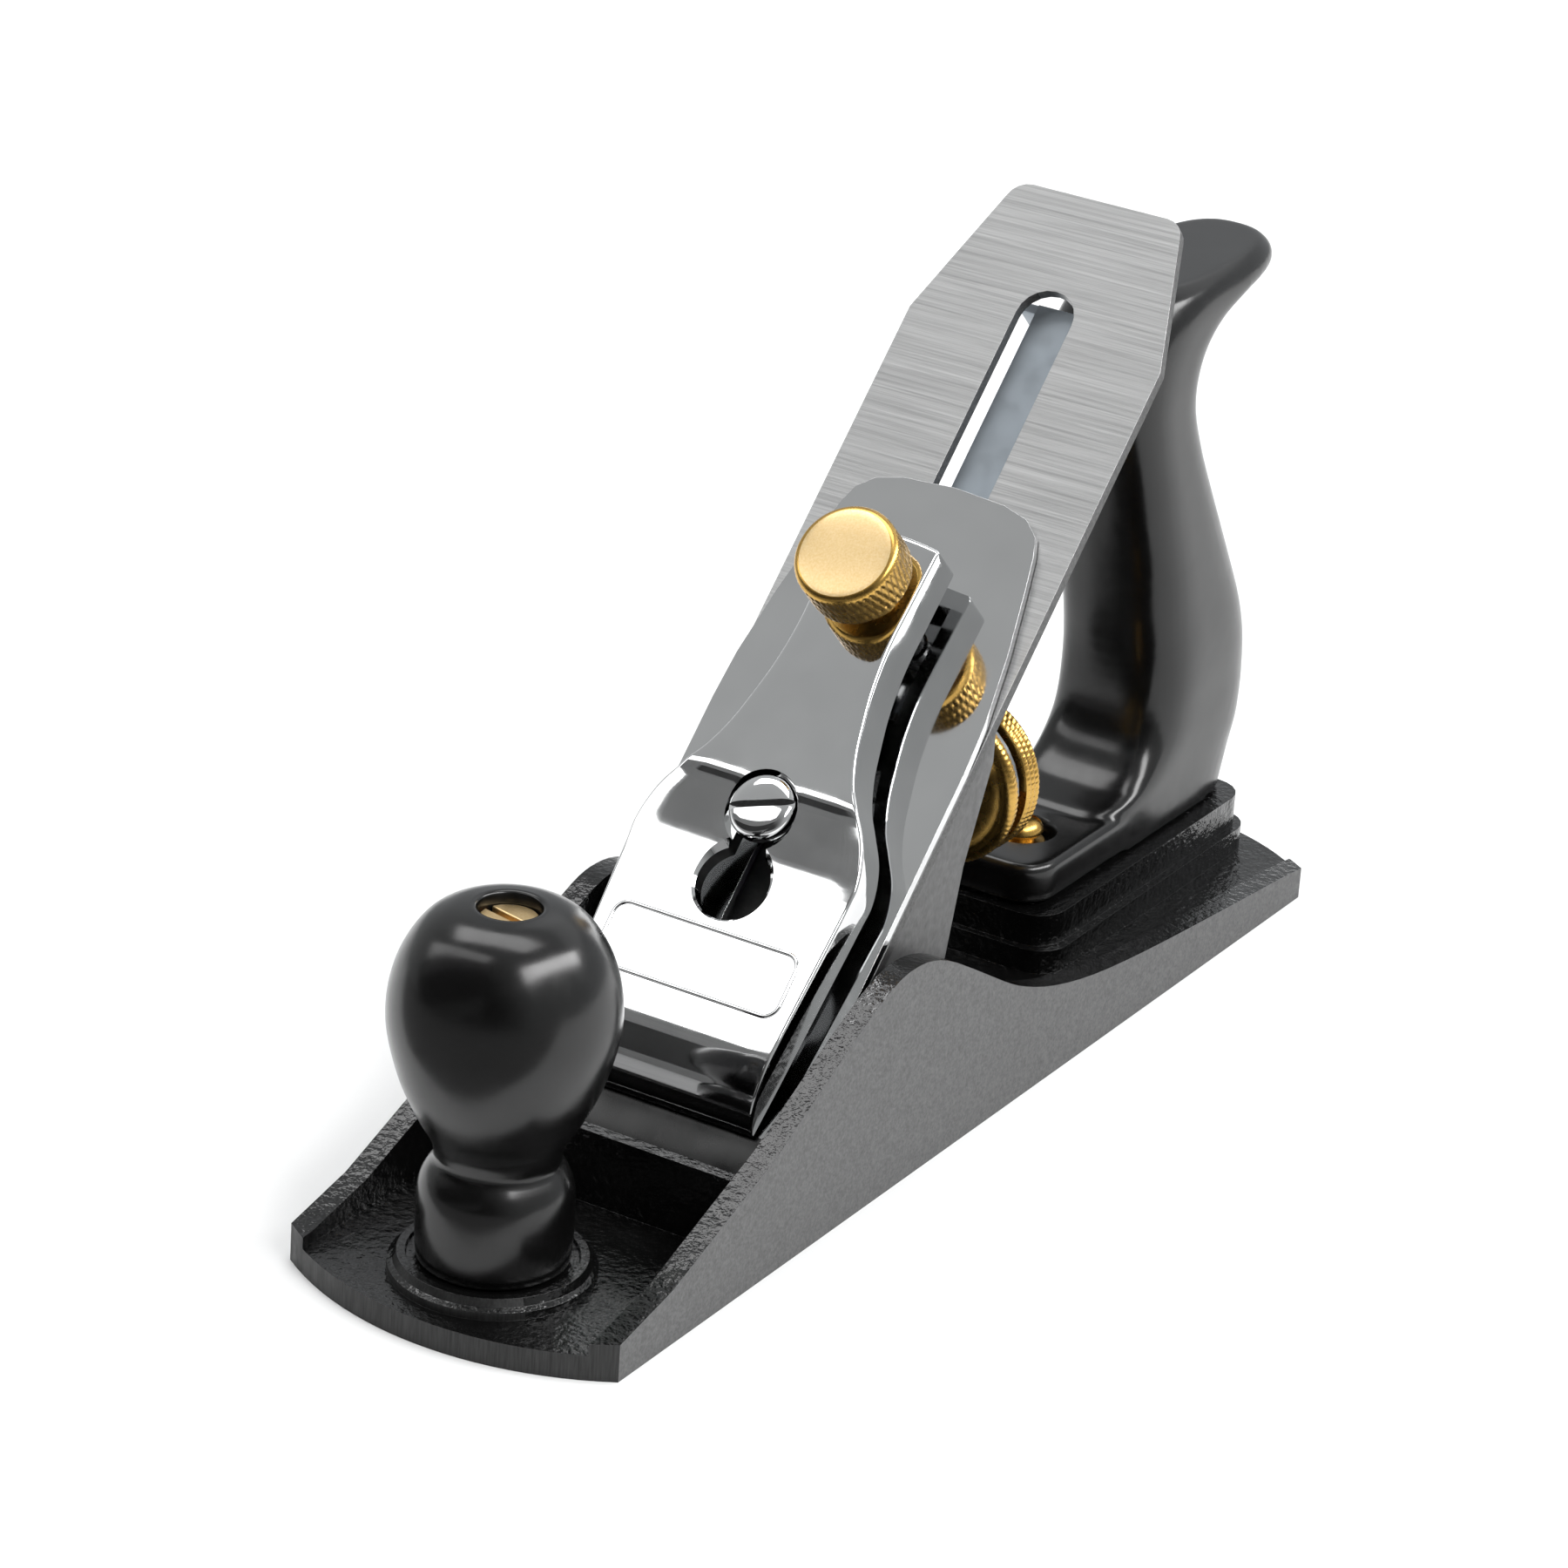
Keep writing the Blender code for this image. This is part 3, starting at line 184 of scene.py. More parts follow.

# Painted shade: dark steel laid on the cap iron's lower end under the lever cap's nose, where the plated
# iron lies in shade.
CAP_IRON_PAINTED_SHADE = Finish("cap_iron_painted_shade", grey(0.05), 0.3, 1.0)
CAP_IRON_PAINTED_SHADE.tint(CAP_IRON_PAINTED_SHADE.grain((6, 6, 6), 3), grey(0.03), grey(0.05))
CAP_IRON_PAINTED_SHADE.rough(CAP_IRON_PAINTED_SHADE.grain((3, 3, 3), 3), 0.24, 0.34)

BRIGHT_STEEL = Finish("bright_steel", grey(0.58), 0.24, 1.0)
BRIGHT_STEEL.rough(BRIGHT_STEEL.grain((1, 1, 1), 3), 0.18, 0.34)
BRIGHT_STEEL.bump(BRIGHT_STEEL.grain((0.5, 0.5, 0.5), 2), 0.006)

ZINC = Finish("zinc_plate", grey(0.56, 0.08), 0.3, 1.0)
ZINC.tint(ZINC.grain((9, 9, 9), 2), grey(0.30, 0.09), grey(0.33, 0.10))
ZINC.rough(ZINC.grain((4, 4, 4), 2), 0.30, 0.38)

FROG_PAINT = Finish("grey_casting_paint", grey(0.40), 0.5, 0.35)
FROG_PAINT.tint(FROG_PAINT.grain((2, 2, 2), 4), grey(0.075), grey(0.10))
FROG_PAINT.rough(FROG_PAINT.grain((1.5, 1.5, 1.5), 3), 0.38, 0.56)
FROG_PAINT.bump(FROG_PAINT.grain((0.8, 0.8, 0.8), 3), 0.04)

BRASS = Finish("turned_brass", (0.80, 0.53, 0.19), 0.26, 1.0)
BRASS.tint(BRASS.grain((5, 5, 5), 3), (0.50, 0.30, 0.075), (0.58, 0.36, 0.10))
BRASS.rough(BRASS.grain((2, 2, 2), 3), 0.22, 0.30)

BRASS_SATIN = Finish("satin_brass", (0.86, 0.62, 0.28), 0.36, 1.0)
BRASS_SATIN.tint(BRASS_SATIN.grain((0.35, 0.35, 0.35), 4), (0.72, 0.51, 0.24), (0.80, 0.61, 0.34))
BRASS_SATIN.rough(BRASS_SATIN.grain((0.3, 0.3, 0.3), 3), 0.30, 0.42)
BRASS_SATIN.bump(BRASS_SATIN.grain((0.25, 0.25, 0.25), 2), 0.004)


# ---- shape helpers -----------------------------------------------------------------------------
def to_object(shape, name):
    """Turns a bmesh into a linked object and frees it."""
    mesh = bpy.data.meshes.new(name)
    shape.to_mesh(mesh)
    shape.free()
    made = bpy.data.objects.new(name, mesh)
    bpy.context.scene.collection.objects.link(made)
    return made


def apply_modifiers(target):
    bpy.context.view_layer.update()
    graph = bpy.context.evaluated_depsgraph_get()
    mesh = bpy.data.meshes.new_from_object(target.evaluated_get(graph))
    target.modifiers.clear()
    target.data = mesh


def ease(target, width, segments=3, angle=30):
    """Rounds the edges sharper than angle degrees, width in mm."""
    bevel = target.modifiers.new("ease", "BEVEL")
    bevel.width = width * MM
    bevel.segments = segments
    bevel.limit_method = "ANGLE"
    bevel.angle_limit = math.radians(angle)
    bevel.use_clamp_overlap = True
    bevel.harden_normals = True
    apply_modifiers(target)


def combine(target, others, operation):
    for other in others:
        step = target.modifiers.new(operation, "BOOLEAN")
        step.operation = operation
        step.solver = "EXACT"
        step.object = other
    apply_modifiers(target)
    for other in others:
        bpy.data.objects.remove(other, do_unlink=True)


def stand_for(target, node, *finishes, smooth=None):
    """Gives a piece its finishes and makes it ride for the CAD node that it replaces."""
    target.data.materials.clear()
    for finish in finishes:
        target.data.materials.append(finish.material)
    if smooth is not None:
        target.data.shade_smooth()
        target.data.set_sharp_from_angle(angle=math.radians(smooth))
    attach(target, BODY_OF[node])
    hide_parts(node)


def copy_of(node):
    """The CAD node's shape as a clean mesh: welded, with its flat faces made whole again."""
    shape = bmesh.new()
    shape.from_mesh(NODES[node].data)
    bmesh.ops.remove_doubles(shape, verts=shape.verts, dist=2e-6)
    bmesh.ops.dissolve_limit(shape, angle_limit=math.radians(0.6), verts=shape.verts, edges=shape.edges)
    return to_object(shape, node + "_shown")


def eased(node, width, *finishes, segments=3, angle=30, zone=None):
    """CAD node with rounded edges.  zone(face) picks which finish a face gets."""
    piece = copy_of(node)
    piece.data.shade_smooth()
    piece.data.set_sharp_from_angle(angle=math.radians(angle))
    ease(piece, width, segments, angle)
    stand_for(piece, node, *finishes)
    if zone is not None:
        for face in piece.data.polygons:
            face.material_index = zone(face.center, face.normal)


def revolve(profile, steps, matrix, relief=None):
    """Bmesh turned about local Z from (radius, height) in mm; a radius of 0 closes it.

    relief(radius, height, angle) gives what to add to the radius, for knurling.  A profile whose ends are
    off the axis is joined end to start, which makes a ring.
    """
    shape = bmesh.new()
    rings = []
    for radius, height in profile:
        if radius == 0:
            rings.append([shape.verts.new(matrix @ Vector((0, 0, height * MM)))])
            continue
        ring = []
        for i in range(steps):
            angle = 2 * math.pi * i / steps
            reach = radius + (relief(radius, height, angle) if relief else 0)
            point = Vector((reach * math.cos(angle), reach * math.sin(angle), height)) * MM
            ring.append(shape.verts.new(matrix @ point))
        rings.append(ring)
    pairs = list(zip(rings, rings[1:]))
    if profile[0][0] and profile[-1][0]:
        pairs.append((rings[-1], rings[0]))
    for a, b in pairs:
        for i in range(steps):
            j = (i + 1) % steps
            corners = [a[i % len(a)], a[j % len(a)], b[j % len(b)], b[i % len(b)]]
            shape.faces.new(list(dict.fromkeys(corners)))
    bmesh.ops.recalc_face_normals(shape, faces=shape.faces)
    return shape


def prism(outline, low, high, matrix):
    """Bmesh of a flat outline (x, y) in mm, given thickness along local Z."""
    shape = bmesh.new()
    lower = [shape.verts.new(matrix @ (Vector((x, y, low)) * MM)) for x, y in outline]
    upper = [shape.verts.new(matrix @ (Vector((x, y, high)) * MM)) for x, y in outline]
    shape.faces.new(lower[::-1])
    shape.faces.new(upper)
    for i in range(len(outline)):
        j = (i + 1) % len(outline)
        shape.faces.new((lower[i], lower[j], upper[j], upper[i]))
    bmesh.ops.recalc_face_normals(shape, faces=shape.faces)
    return shape


def cutter(shape):
    return to_object(shape, "cutter")


def arc(centre, radius, start, end, steps):
    """Points on an arc, angles in degrees."""
    angles = [math.radians(start + (end - start) * i / steps) for i in range(steps + 1)]
    return [(centre[0] + radius * math.cos(a), centre[1] + radius * math.sin(a)) for a in angles]


def slot_outline(half, start, end, steps=20):
    return arc((0, end), half, 0, 180, steps) + arc((0, start), half, 180, 360, steps)


def round_rectangle(half_width, front, back, radius, steps=8):
    points = arc((half_width - radius, back - radius), radius, 0, 90, steps)
    points += arc((-half_width + radius, back - radius), radius, 90, 180, steps)
    points += arc((-half_width + radius, front + radius), radius, 180, 270, steps)
    return points + arc((half_width - radius, front + radius), radius, 270, 360, steps)


def smooth_line(points, steps):
    """Points along a Catmull-Rom curve through the given ones."""
    ends = [points[0], *points, points[-1]]
    result = []
    for a, b, c, d in zip(ends, ends[1:], ends[2:], ends[3:]):
        for i in range(steps):
            t = i / steps
            result.append(tuple(
                0.5 * (2 * q + (r - p) * t + (2 * p - 5 * q + 4 * r - s) * t ** 2
                       + (3 * q - p - 3 * r + s) * t ** 3) for p, q, r, s in zip(a, b, c, d)))
    return result + [points[-1]]


def along(points, at):
    """Value at a place on a line of (place, value) points in rising order."""
    for (a, low), (b, high) in zip(points, points[1:]):
        if at <= b:
            return low + (high - low) * (at - a) / (b - a)
    return points[-1][1]


# ---- body --------------------------------------------------------------------------------------
def body_zone(centre, normal):
    """0 enamel, 1 ground flanks and sole, 2 the ends of the sole, ground iron with painted shade."""
    low, high = CAD_BOX
    on_flank = abs(normal.x) > 0.7 and abs(centre.x) > high[0] - 0.0012
    if on_flank or (normal.z < -0.7 and centre.z < 0.0006):
        return 1
    on_end = abs(normal.z) < 0.5 and (centre.y < low[1] + 0.0106 or centre.y > high[1] - 0.0126)
    return 2 if on_end and abs(normal.y) > 0.5 and centre.z < 0.0075 else 0


eased("body_casting", 0.5, ENAMEL, GROUND, GROUND_ENDS_SHADED, segments=3, angle=25, zone=body_zone)


# ---- front knob --------------------------------------------------------------------------------
KNOB_Y = -104.7
KNOB_BASE = 7.3
KNOB_TOP = 61.7                     # above its base


def knob_profile():
    top = KNOB_TOP
    bulb = [(5.9, top), (9.4, top - 0.75), (13.2, top - 3.1), (16.3, top - 7.6), (18.1, top - 12.6),
            (18.75, top - 18.0), (18.2, top - 23.2), (16.2, top - 30.2), (13.3, top - 36.4),
            (11.0, top - 40.4), (10.2, top - 43.0)]
    foot = [(10.15, top - 43.6), (10.4, top - 44.4), (11.7, top - 46.4), (12.6, top - 49), (12.8, 8),
            (12.75, 4), (12.5, 0.6), (12.1, 0)]
    recess = [(3, 0), (3, top - 8), (5.2, top - 8), (5.2, top - 0.5), (5.4, top - 0.12)]
    return recess + smooth_line(bulb, 5) + smooth_line(foot, 3)


knob = to_object(revolve(knob_profile(), 112, Matrix.Translation((0, KNOB_Y * MM, KNOB_BASE * MM))),
                 "knob_shown")
stand_for(knob, "front_knob", BLACK_GLOSS, smooth=50)
eased("knob_nut", 0.35, BRASS_SATIN)
eased("knob_rod", 0.2, BRIGHT_STEEL)


# ---- tote --------------------------------------------------------------------------------------
# Stations from foot to horn: front point, back point (y, z), half width, squareness of the section.
TOTE_STATIONS = [
    (70.0, 15.4, 121.0, 15.4, 12.3, 5.0), (71.0, 23.0, 123.4, 23.4, 12.5, 5.0),
    (79.5, 26.2, 124.8, 29.0, 12.7, 5.0), (85.0, 29.8, 125.2, 35.0, 12.9, 4.6),
    (88.3, 34.5, 125.0, 41.0, 13.0, 4.2), (89.8, 41.0, 123.6, 47.5, 13.2, 4.0),
    (89.6, 48.5, 120.6, 55.0, 13.2, 3.8), (87.6, 57.0, 116.2, 63.0, 13.0, 3.6),
    (85.4, 66.0, 110.6, 72.0, 12.9, 3.5), (82.0, 75.5, 104.6, 81.5, 12.8, 3.5),
    (78.6, 85.0, 99.2, 90.5, 12.7, 3.5), (75.2, 94.0, 95.6, 99.0, 12.6, 3.5),
    (72.8, 101.5, 96.2, 105.5, 12.6, 3.5), (71.6, 107.0, 100.6, 110.8, 12.5, 3.3),
    (71.8, 111.5, 108.2, 114.6, 12.4, 3.2), (73.4, 115.3, 118.0, 116.9, 12.4, 3.2),
    (75.5, 118.2, 125.6, 118.4, 12.2, 3.0), (78.0, 120.4, 126.4, 120.8, 11.4, 2.8),
    (82.0, 121.6, 124.4, 122.6, 9.6, 2.6),
]
TOTE_TOP = Vector((0, 82.5, 119)) * MM
TOTE_LEAN = math.atan2(25, 110)
TOE_SCREW_Y = 61.5
FOOT_TOP = 23.3


def loft(stations, sides):
    """Bmesh through rounded-square sections that lie on their front-to-back lines."""
    shape = bmesh.new()
    rings = []
    for front_y, front_z, back_y, back_z, half, squareness in stations:
        front, back = Vector((0, front_y, front_z)) * MM, Vector((0, back_y, back_z)) * MM
        middle, reach = (front + back) / 2, (back - front) / 2
        ring = []
        for i in range(sides):
            across, forth = math.cos(2 * math.pi * i / sides), math.sin(2 * math.pi * i / sides)
            size = (abs(across) ** squareness + abs(forth) ** squareness) ** (1 / squareness)
            ring.append(shape.verts.new(middle + reach * (forth / size)
                                        + Vector((half * MM * across / size, 0, 0))))
        rings.append(ring)
    for a, b in zip(rings, rings[1:]):
        for i in range(sides):
            j = (i + 1) % sides
            shape.faces.new((a[i], a[j], b[j], b[i]))
    shape.faces.new(rings[0][::-1])
    shape.faces.new(rings[-1])
    bmesh.ops.recalc_face_normals(shape, faces=shape.faces)
    return shape


def build_tote():
    tote = to_object(loft(smooth_line(TOTE_STATIONS, 3), 72), "tote_shown")
    foot_plan = round_rectangle(12.2, 46.9, 112, 6.5)
    foot = to_object(prism(foot_plan, 15.35, FOOT_TOP, Matrix.Identity(4)), "foot")
    ease(foot, 1.6, 4, 60)
    combine(tote, [foot], "UNION")
    fuse = tote.modifiers.new("fuse", "REMESH")
    fuse.mode = "VOXEL"
    fuse.voxel_size = 0.55 * MM
    relax = tote.modifiers.new("relax", "SMOOTH")
    relax.factor = 0.5
    relax.iterations = 8
    apply_modifiers(tote)
    rod = Matrix.Translation(TOTE_TOP) @ Matrix.Rotation(TOTE_LEAN, 4, "X")
    at_toe = Matrix.Translation((0, TOE_SCREW_Y * MM, 0))
    floor = FOOT_TOP - 3.6
    combine(tote, [
        cutter(revolve([(0, -125), (3, -125), (3, 12), (0, 12)], 32, rod)),
        cutter(revolve([(0, -8), (5.4, -8), (5.4, 0.5), (6.4, 3.2), (6.4, 12), (0, 12)], 56, rod)),
        cutter(revolve([(0, floor), (6.0, floor), (6.2, FOOT_TOP - 0.7), (7.1, FOOT_TOP + 0.6),
                        (7.1, FOOT_TOP + 3), (0, FOOT_TOP + 3)], 64, at_toe)),
        cutter(revolve([(0, 10), (2.4, 10), (2.4, FOOT_TOP), (0, FOOT_TOP)], 32, at_toe)),
    ], "DIFFERENCE")
    stand_for(tote, "tote", BLACK_GLOSS, smooth=42)


build_tote()
eased("tote_nut", 0.35, BRASS_SATIN)
eased("tote_rod", 0.2, BRIGHT_STEEL)


def build_toe_screw():
    """Round-headed brass screw in the recess of the tote's foot, with a cross slot."""
    place = Matrix.Translation((0, TOE_SCREW_Y * MM, (FOOT_TOP - 3.3) * MM))
    profile = [(0, 6.0), (1.4, 5.9), (2.6, 5.5), (3.5, 4.8), (4.0, 4.0), (4.1, 3.2), (3.7, 2.6), (2.8, 2.3),
               (2.7, 1.5), (4.4, 1.3), (4.6, 1.1), (4.6, 0), (2, 0), (2, -12.4), (0, -12.4)]
    screw = to_object(revolve(profile, 56, place), "toe_screw_shown")
    turn = place @ Matrix.Rotation(math.radians(35), 4, "Z")
    combine(screw, [cutter(prism([(-6, -0.6), (6, -0.6), (6, 0.6), (-6, 0.6)], 4.5, 8, turn))], "DIFFERENCE")
    stand_for(screw, "tote_toe_screw", BRASS, smooth=35)


build_toe_screw()


# ---- frog and its screws -----------------------------------------------------------------------
eased("frog", 0.7, FROG_PAINT)
for side in ("left", "right"):
    eased("frog_screw_" + side, 0.3, BRIGHT_STEEL)
    eased("frog_washer_" + side, 0.2, ZINC)
eased("depth_stud", 0.4, BRIGHT_STEEL)
eased("depth_yoke", 0.3, ZINC)
eased("yoke_pin", 0.2, BRIGHT_STEEL)
eased("wheel_bush", 0.2, BRASS)
eased("lateral_lever", 0.3, ZINC)
eased("lateral_disc", 0.2, BRIGHT_STEEL)
eased("lateral_pin", 0.2, BRIGHT_STEEL)


# ---- depth wheel -------------------------------------------------------------------------------
WHEEL_Y = 29.6
WHEEL_Z = 43.1


def wheel_relief(radius, height, angle):
    """Fine diagonal knurling on the rims."""
    if radius < 14.3 or not (0.7 < height < 2.1 or 5.8 < height < 9.8):
        return 0
    return 0.16 * (abs(math.sin(45 * angle + 1.7 * height)) - 0.6)


def build_wheel():
    place = Matrix.Translation((0, WHEEL_Y * MM, WHEEL_Z * MM)) @ Matrix.Rotation(math.radians(-90), 4, "X")
    rear = []
    for i in range(25):
        height = 5.6 + 4.2 * i / 24
        rear.append((14.55 + 0.45 * abs(math.sin(math.pi * 3 * i / 24)), height))
    front = [(14.7, 2.15), (14.9, 2.0), (14.95, 1.5), (14.95, 1.0), (14.6, 0.6), (13.9, 0.15), (13.2, 0)]
    face = [(12.2, 0.0), (11.6, 0.35), (7.2, 0.45), (6.6, 0.15), (4.95, 0.05)]
    back = [(4.95, 10.35), (12.6, 10.4), (13.8, 10.2)]
    profile = back + rear[::-1] + [(9.5, 5.55), (9.5, 2.2)] + front + face
    wheel = to_object(revolve(profile, 360, place, wheel_relief), "depth_wheel_shown")
    stand_for(wheel, "depth_wheel", BRASS, smooth=40)


build_wheel()


# ---- iron and cap iron -------------------------------------------------------------------------
def blade_zone(centre, normal):
    """0 the ground faces, 1 the sheared edges."""
    return 1 if abs(normal.x) > 0.6 else 0


eased("blade", 0.18, BLADE_STEEL, BLADE_EDGE, segments=2, zone=blade_zone)


PAINTED_SHADE_END_S = 17.5                   # below this the cap iron is painted dark: painted shade under the lever cap's nose


def cap_iron_zone(centre, normal):
    """0 plated, 1 the lower end between the lever cap's nose and the mouth, with painted shade."""
    up_bed = (centre.y - MOUTH_Y * MM + centre.z) / math.sqrt(2)
    return 1 if up_bed < PAINTED_SHADE_END_S * MM else 0


eased("cap_iron", 0.8, CHROME, CAP_IRON_PAINTED_SHADE, segments=5, zone=cap_iron_zone)
eased("cap_iron_screw", 0.3, BRIGHT_STEEL)


# ---- lever cap ---------------------------------------------------------------------------------
CAP_TOP = 122.0
CAP_EDGE = 0.7                      # radius of its upper edges
LABEL_LOW = (34.0, 12.15)           # place up the bed and height of the label face's lower end
LABEL_HIGH = (57.0, 12.65)
BOW_START = 114                     # from here up the cap's end bows out in the middle
BOW = 0.9
CAP_WIDTH = smooth_line([(18.6, 20.0), (29, 20.5), (40, 21.0), (57, 21.8), (62.5, 21.9), (68.5, 20.2),
                         (73.4, 17.2), (77.4, 14.6), (82.8, 12.4), (88.4, 11.0), (95, 9.7), (103, 9.0),
                         (112, 9.2), (CAP_TOP, 9.5)], 6)
CAP_HEIGHT = (smooth_line([(18.6, 4.9), (18.9, 6.1), (20.6, 7.9), (24.5, 10.4), (29.0, 11.75),
                           (33.0, 12.1)], 5)
              + [LABEL_LOW, LABEL_HIGH]
              + smooth_line([(58.5, 12.72), (62.0, 13.12), (66.0, 13.72), (70.0, 14.38), (72.4, 14.80)], 4)
              + [(74.0, 15.32), (74.6, 15.36), (CAP_TOP, 15.08)])
CAP_UNDER = [(18.6, 4.6), (28, 4.6), (126, 6.6)]
KEYHOLE_S = 56.5
CAP_SCREW_S = 70.0
THUMB_S = 112.5


def cap_section(s):
    """Right half of the lever cap's cross-section at s, from the top centre to the bottom centre."""
    half, top, under = along(CAP_WIDTH, s), along(CAP_HEIGHT, s), along(CAP_UNDER, s)
    edge = min(CAP_EDGE, 0.45 * (top - under))
    if s > CAP_TOP - edge:
        drop = edge - math.sqrt(max(0, edge ** 2 - (s - CAP_TOP + edge) ** 2))
        half, top = half - drop, top - drop
    points = [((half - edge) * share, top) for share in (0, 0.2, 0.4, 0.6, 0.8, 1)]
    points += arc((half - edge, top - edge), edge, 90, 0, 5)[1:]
    points += [(half, (top + under) / 2), (half, under + 0.15), (half - 0.15, under), (0, under)]
    return points


def cap_stations():
    nose = [18.6 + 0.3 * i for i in range(8)]
    middle = [21 + 0.75 * i for i in range(134)]
    end = [CAP_TOP - 0.7 + 0.7 * math.sin(math.radians(15 * i)) for i in range(7)]
    return nose + [s for s in middle if s < CAP_TOP - 0.9] + end


def build_lever_cap():
    frame_matrix = bed_matrix()
    shape = bmesh.new()
    rings = []
    for s in cap_stations():
        right = cap_section(s)
        outline = right + [(-x, w) for x, w in right[-2:0:-1]]
        half = along(CAP_WIDTH, s)
        bow = BOW * max(0, (s - BOW_START) / (CAP_TOP - BOW_START)) ** 2
        rings.append([shape.verts.new(frame_matrix @ (Vector((x, s + bow * (1 - (x / half) ** 2), w)) * MM))
                      for x, w in outline])
    for a, b in zip(rings, rings[1:]):
        for i in range(len(a)):
            j = (i + 1) % len(a)
            shape.faces.new((a[i], a[j], b[j], b[i]))
    shape.faces.new(rings[0])
    shape.faces.new(rings[-1][::-1])
    bmesh.ops.recalc_face_normals(shape, faces=shape.faces)
    cap = to_object(shape, "lever_cap_shown")

    inner = [(max(along(CAP_WIDTH, s) - 2.6, 2), s) for s in [34 + 2.5 * i for i in range(35)]]
    core_plan = inner + [(-x, s) for x, s in inner[::-1]]
    lower_core = prism([p for p in core_plan if p[1] < 76.8], 2, 9.1, frame_matrix)
    upper_core = prism([p for p in core_plan if p[1] > 76], 2.2, 11.6, frame_matrix)
    neck = [(-3.6, KEYHOLE_S), (3.6, KEYHOLE_S), (3.6, CAP_SCREW_S), (-3.6, CAP_SCREW_S)]
    combine(cap, [
        cutter(lower_core),
        cutter(upper_core),
        cutter(revolve([(0, 0), (6.7, 0), (6.7, 12.1), (8.1, 13.5), (8.1, 20), (0, 20)], 72,
                       bed_matrix(KEYHOLE_S))),
        cutter(prism(slot_outline(3.6, KEYHOLE_S, CAP_SCREW_S), 0, 20, frame_matrix)),
        cutter(prism(slot_outline(6.5, CAP_SCREW_S - 1, CAP_SCREW_S), 12.1, 20, frame_matrix)),
        cutter(revolve([(0, 0), (3.2, 0), (3.2, 20), (0, 20)], 32, bed_matrix(THUMB_S))),
    ], "DIFFERENCE")
    stand_for(cap, "lever_cap", CHROME, smooth=28)


build_lever_cap()


FRAME_HALF = 18.4                   # label frame's outer half width, ends and corner radius
FRAME_LOW = 2.0
FRAME_HIGH = 14.3
FRAME_CORNER = 3.0


def build_label_frame():
    """Thin raised rounded frame round the blank label face."""
    tilt = math.atan2(LABEL_HIGH[1] - LABEL_LOW[1], LABEL_HIGH[0] - LABEL_LOW[0])
    place = bed_matrix(*LABEL_LOW) @ Matrix.Rotation(tilt, 4, "X")
    across = [(0, -0.1), (0.12, 0.1), (0.3, 0.24), (0.45, 0.28), (0.6, 0.24), (0.78, 0.1), (0.9, -0.1)]
    shape = bmesh.new()
    rings = []
    for inset, height in across:
        outline = round_rectangle(FRAME_HALF - inset, FRAME_LOW + inset, FRAME_HIGH - inset,
                                  FRAME_CORNER - inset, 10)
        rings.append([shape.verts.new(place @ (Vector((x, y, height)) * MM)) for x, y in outline])
    rings.append(rings[0])
    for a, b in zip(rings, rings[1:]):
        for i in range(len(a)):
            j = (i + 1) % len(a)
            shape.faces.new((a[i], a[j], b[j], b[i]))
    bmesh.ops.recalc_face_normals(shape, faces=shape.faces)
    label = to_object(shape, "label_frame")
    label.data.materials.append(CHROME.material)
    label.data.shade_smooth()
    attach(label, BODY_OF["lever_cap"])


build_label_frame()


def build_cap_screw():
    """Slotted screw of the lever cap, with a low domed head."""
    seat, head = 12.4, 3.6
    top = seat + head
    profile = [(0, top), (2.2, top - 0.04), (4.0, top - 0.2), (5.0, top - 0.5), (5.6, top - 0.95),
               (5.9, top - 1.6), (5.9, seat + 0.5), (5.6, seat + 0.15), (5.3, seat), (2.7, seat),
               (2.7, -13), (0, -13)]
    screw = to_object(revolve(profile, 72, bed_matrix(CAP_SCREW_S)), "cap_screw_shown")
    turn = bed_matrix(CAP_SCREW_S) @ Matrix.Rotation(math.radians(20), 4, "Z")
    combine(screw, [cutter(prism([(-8, -0.65), (8, -0.65), (8, 0.65), (-8, 0.65)], seat + 2.1, 20, turn))],
            "DIFFERENCE")
    stand_for(screw, "lever_cap_screw", CHROME, smooth=35)


build_cap_screw()


# ---- thumbscrew --------------------------------------------------------------------------------
def thumb_relief(radius, height, angle):
    """Diamond knurling on the side of the head."""
    if radius < 9.0 or not 18.9 < height < 26.1:
        return 0
    lean = 0.62 * height
    return 0.13 * (abs(math.sin(24 * angle + lean)) + abs(math.sin(24 * angle - lean)) - 1.2)


def build_thumbscrew():
    side = [(9.2, 26.1 - 7.2 * i / 30) for i in range(31)]
    profile = ([(0, 27.4), (2.5, 27.38), (5.0, 27.28), (7.0, 27.12), (8.1, 26.98), (8.6, 26.8), (8.95, 26.5)]
               + side + [(8.9, 18.5), (8.5, 18.05), (8.2, 18.0), (5.1, 18), (5.0, 17.9), (5.0, 16.5),
                         (4.9, 16.4), (3.1, 16.4), (3.1, 23), (0, 23)])
    head = to_object(revolve(profile, 288, bed_matrix(THUMB_S), thumb_relief), "thumbscrew_shown")
    stand_for(head, "thumbscrew_head", BRASS, BRASS_SATIN, smooth=40)
    normal = Vector((0, -math.sin(BED_ANGLE), math.cos(BED_ANGLE)))
    for face in head.data.polygons:
        face.material_index = 1 if face.normal.dot(normal) > 0.95 else 0


build_thumbscrew()
eased("thumbscrew_stud", 0.2, BRIGHT_STEEL)


# ---- floor, light and camera -------------------------------------------------------------------
def facing(aim, distance, sideways, shift=0.0):
    """Placement at distance m from the plane in the direction aim, facing it, its X axis along sideways.

    shift moves it square to both, away from the floor.
    """
    out = Vector(aim).normalized()
    across = Vector(sideways)
    across = (across - out * across.dot(out)).normalized()
    rise = out.cross(across)
    where = Vector((0, 0, 0.04)) + out * distance + rise * shift
    return Matrix.Translation(where) @ Matrix((across, rise, out)).transposed().to_4x4()


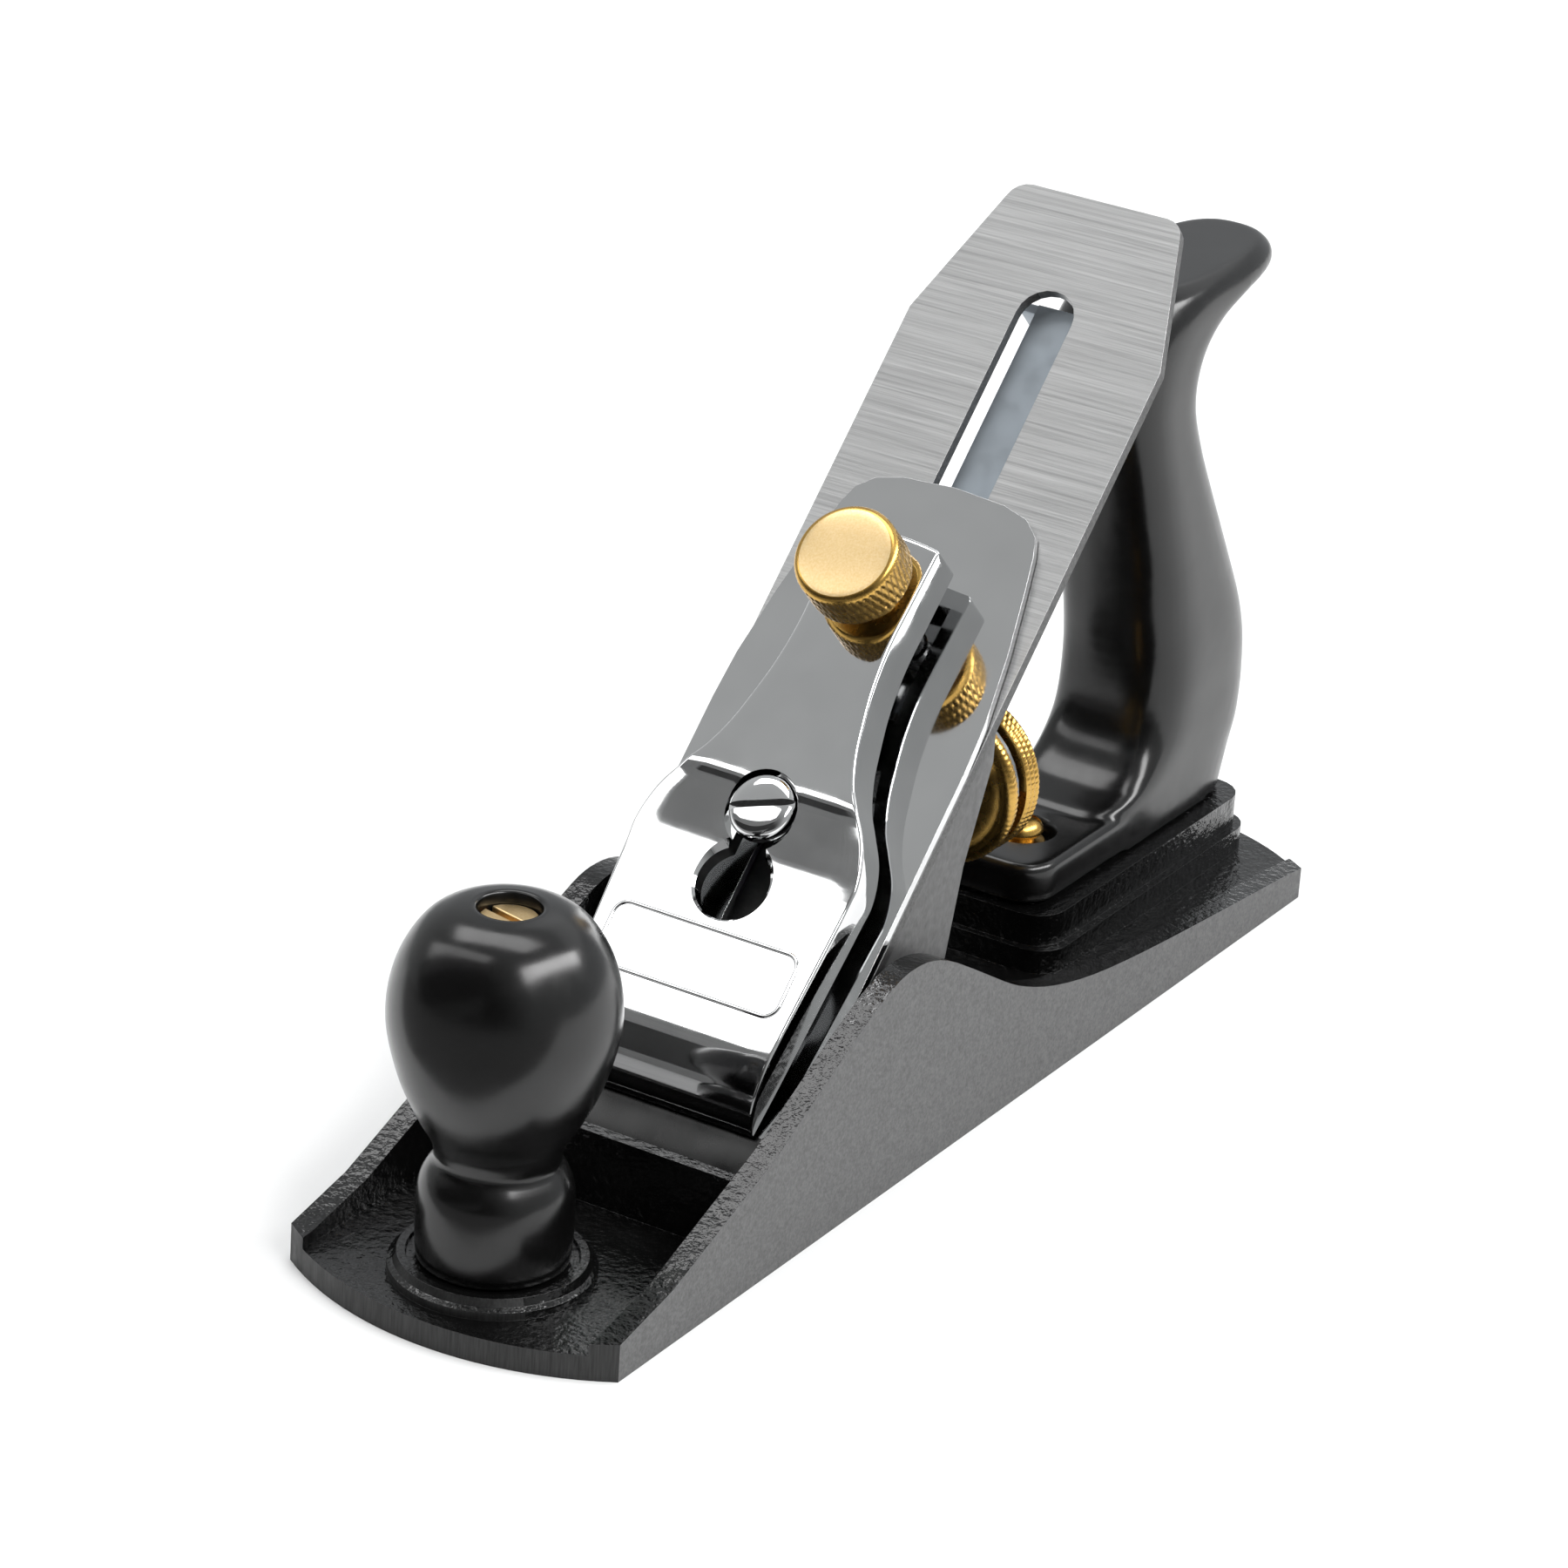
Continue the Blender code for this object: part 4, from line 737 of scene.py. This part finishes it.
def area_light(name, aim, distance, sideways, size, radiance):
    """Soft box of size (along sideways, the other way) m."""
    data = bpy.data.lights.new(name, "AREA")
    data.shape = "RECTANGLE"
    data.size, data.size_y = size
    data.energy = radiance * math.pi * size[0] * size[1]
    light = bpy.data.objects.new(name, data)
    bpy.context.scene.collection.objects.link(light)
    light.matrix_world = facing(aim, distance, sideways)
    light.visible_camera = False


def card(name, place, size, value):
    """Flag of the given grey that only reflections see, for the darker bands in the chrome."""
    shape = bmesh.new()
    bmesh.ops.create_grid(shape, x_segments=1, y_segments=1, size=0.5)
    bmesh.ops.scale(shape, vec=(*size, 1), verts=shape.verts)
    flag = to_object(shape, name)
    flag.matrix_world = place
    felt = Finish(name + "_felt", grey(value), 0.9)
    felt.tint(felt.grain((20, 20, 20), 2), grey(value * 0.9), grey(value * 1.1))
    flag.data.materials.append(felt.material)
    flag.visible_camera = flag.visible_diffuse = flag.visible_shadow = False


def build_stage():
    shape = bmesh.new()
    bmesh.ops.create_grid(shape, x_segments=1, y_segments=1, size=4)
    floor = to_object(shape, "floor")
    paper = Finish("floor_paper", grey(0.86), 0.7)
    paper.tint(paper.grain((40, 40, 40), 2), grey(0.85), grey(0.87))
    floor.data.materials.append(paper.material)

    world = bpy.data.worlds.new("studio")
    bpy.context.scene.world = world
    world.use_nodes = True
    tree = world.node_tree
    direction = tree.nodes.new("ShaderNodeTexCoord")
    split = tree.nodes.new("ShaderNodeSeparateXYZ")
    shade = tree.nodes.new("ShaderNodeValToRGB")
    halve = tree.nodes.new("ShaderNodeMath")
    halve.operation = "MULTIPLY_ADD"
    halve.inputs[1].default_value = halve.inputs[2].default_value = 0.5
    tree.links.new(direction.outputs["Generated"], split.inputs["Vector"])
    tree.links.new(split.outputs["Y"], halve.inputs[0])
    tree.links.new(halve.outputs["Value"], shade.inputs["Fac"])
    tree.links.new(shade.outputs["Color"], tree.nodes["Background"].inputs["Color"])
    tree.nodes["Background"].inputs["Strength"].default_value = 1.6
    steps = shade.color_ramp.elements
    steps[0].position, steps[0].color = 0.08, (0.03, 0.03, 0.03, 1)      # dark in front of the toe
    steps[1].position, steps[1].color = 0.90, (0.36, 0.37, 0.38, 1)      # grey behind the heel
    for position, value in ((0.27, 0.27), (0.55, 0.34)):
        step = steps.new(position)
        step.color = (value * 0.98, value, value, 1)

    area_light("overhead", (-0.23, 0.10, 0.97), 2.0, (1, 0.1, 0), (2.1, 0.80), 4.2)
    front = ((-0.50, -0.53, 0.69), 0.75, (0.79, -0.23, 0.41))
    area_light("left", *front, (0.90, 0.174), 2.3)
    area_light("right", (0.72, 0.10, 0.68), 1.8, (-0.04, 1.21, -0.25), (2.3, 0.50), 11.0)
    area_light("behind", (0.2, 1.0, 0.9), 2.2, (1, 0, 0), (2.6, 0.8), 0.5)
    card("grey_card", facing(*front, -0.165), (1.2, 0.13), 0.15)
    card("dark_card", facing(*front, -0.43), (1.2, 0.38), 0.02)
    card("nose_card", facing(*front, -0.80), (1.2, 0.34), 0.13)
    # Painted reflection: a sheet darker than the pale floor lies on it, seen only in reflections, so the
    # floor looks dark in the knob and chrome.
    card("painted_dark_floor_reflection", Matrix.Translation((0, -1.35, 0.0005)), (4, 2.4), 0.20)


def build_camera():
    data = bpy.data.cameras.new("camera")
    data.lens = 138.158
    data.sensor_width = 36
    camera = bpy.data.objects.new("camera", data)
    bpy.context.scene.collection.objects.link(camera)
    right = Vector((0.8450, 0.5310, 0.0627))
    up = Vector((-0.2663, 0.3163, 0.9105))
    back = right.cross(up).normalized()
    up = back.cross(right).normalized()
    turn = Matrix((right.normalized(), up, back)).transposed().to_4x4()
    camera.matrix_world = Matrix.Translation((0.46528, -0.81234, 0.47165)) @ turn
    bpy.context.scene.camera = camera


build_stage()
build_camera()
bpy.context.scene.view_settings.view_transform = "Standard"
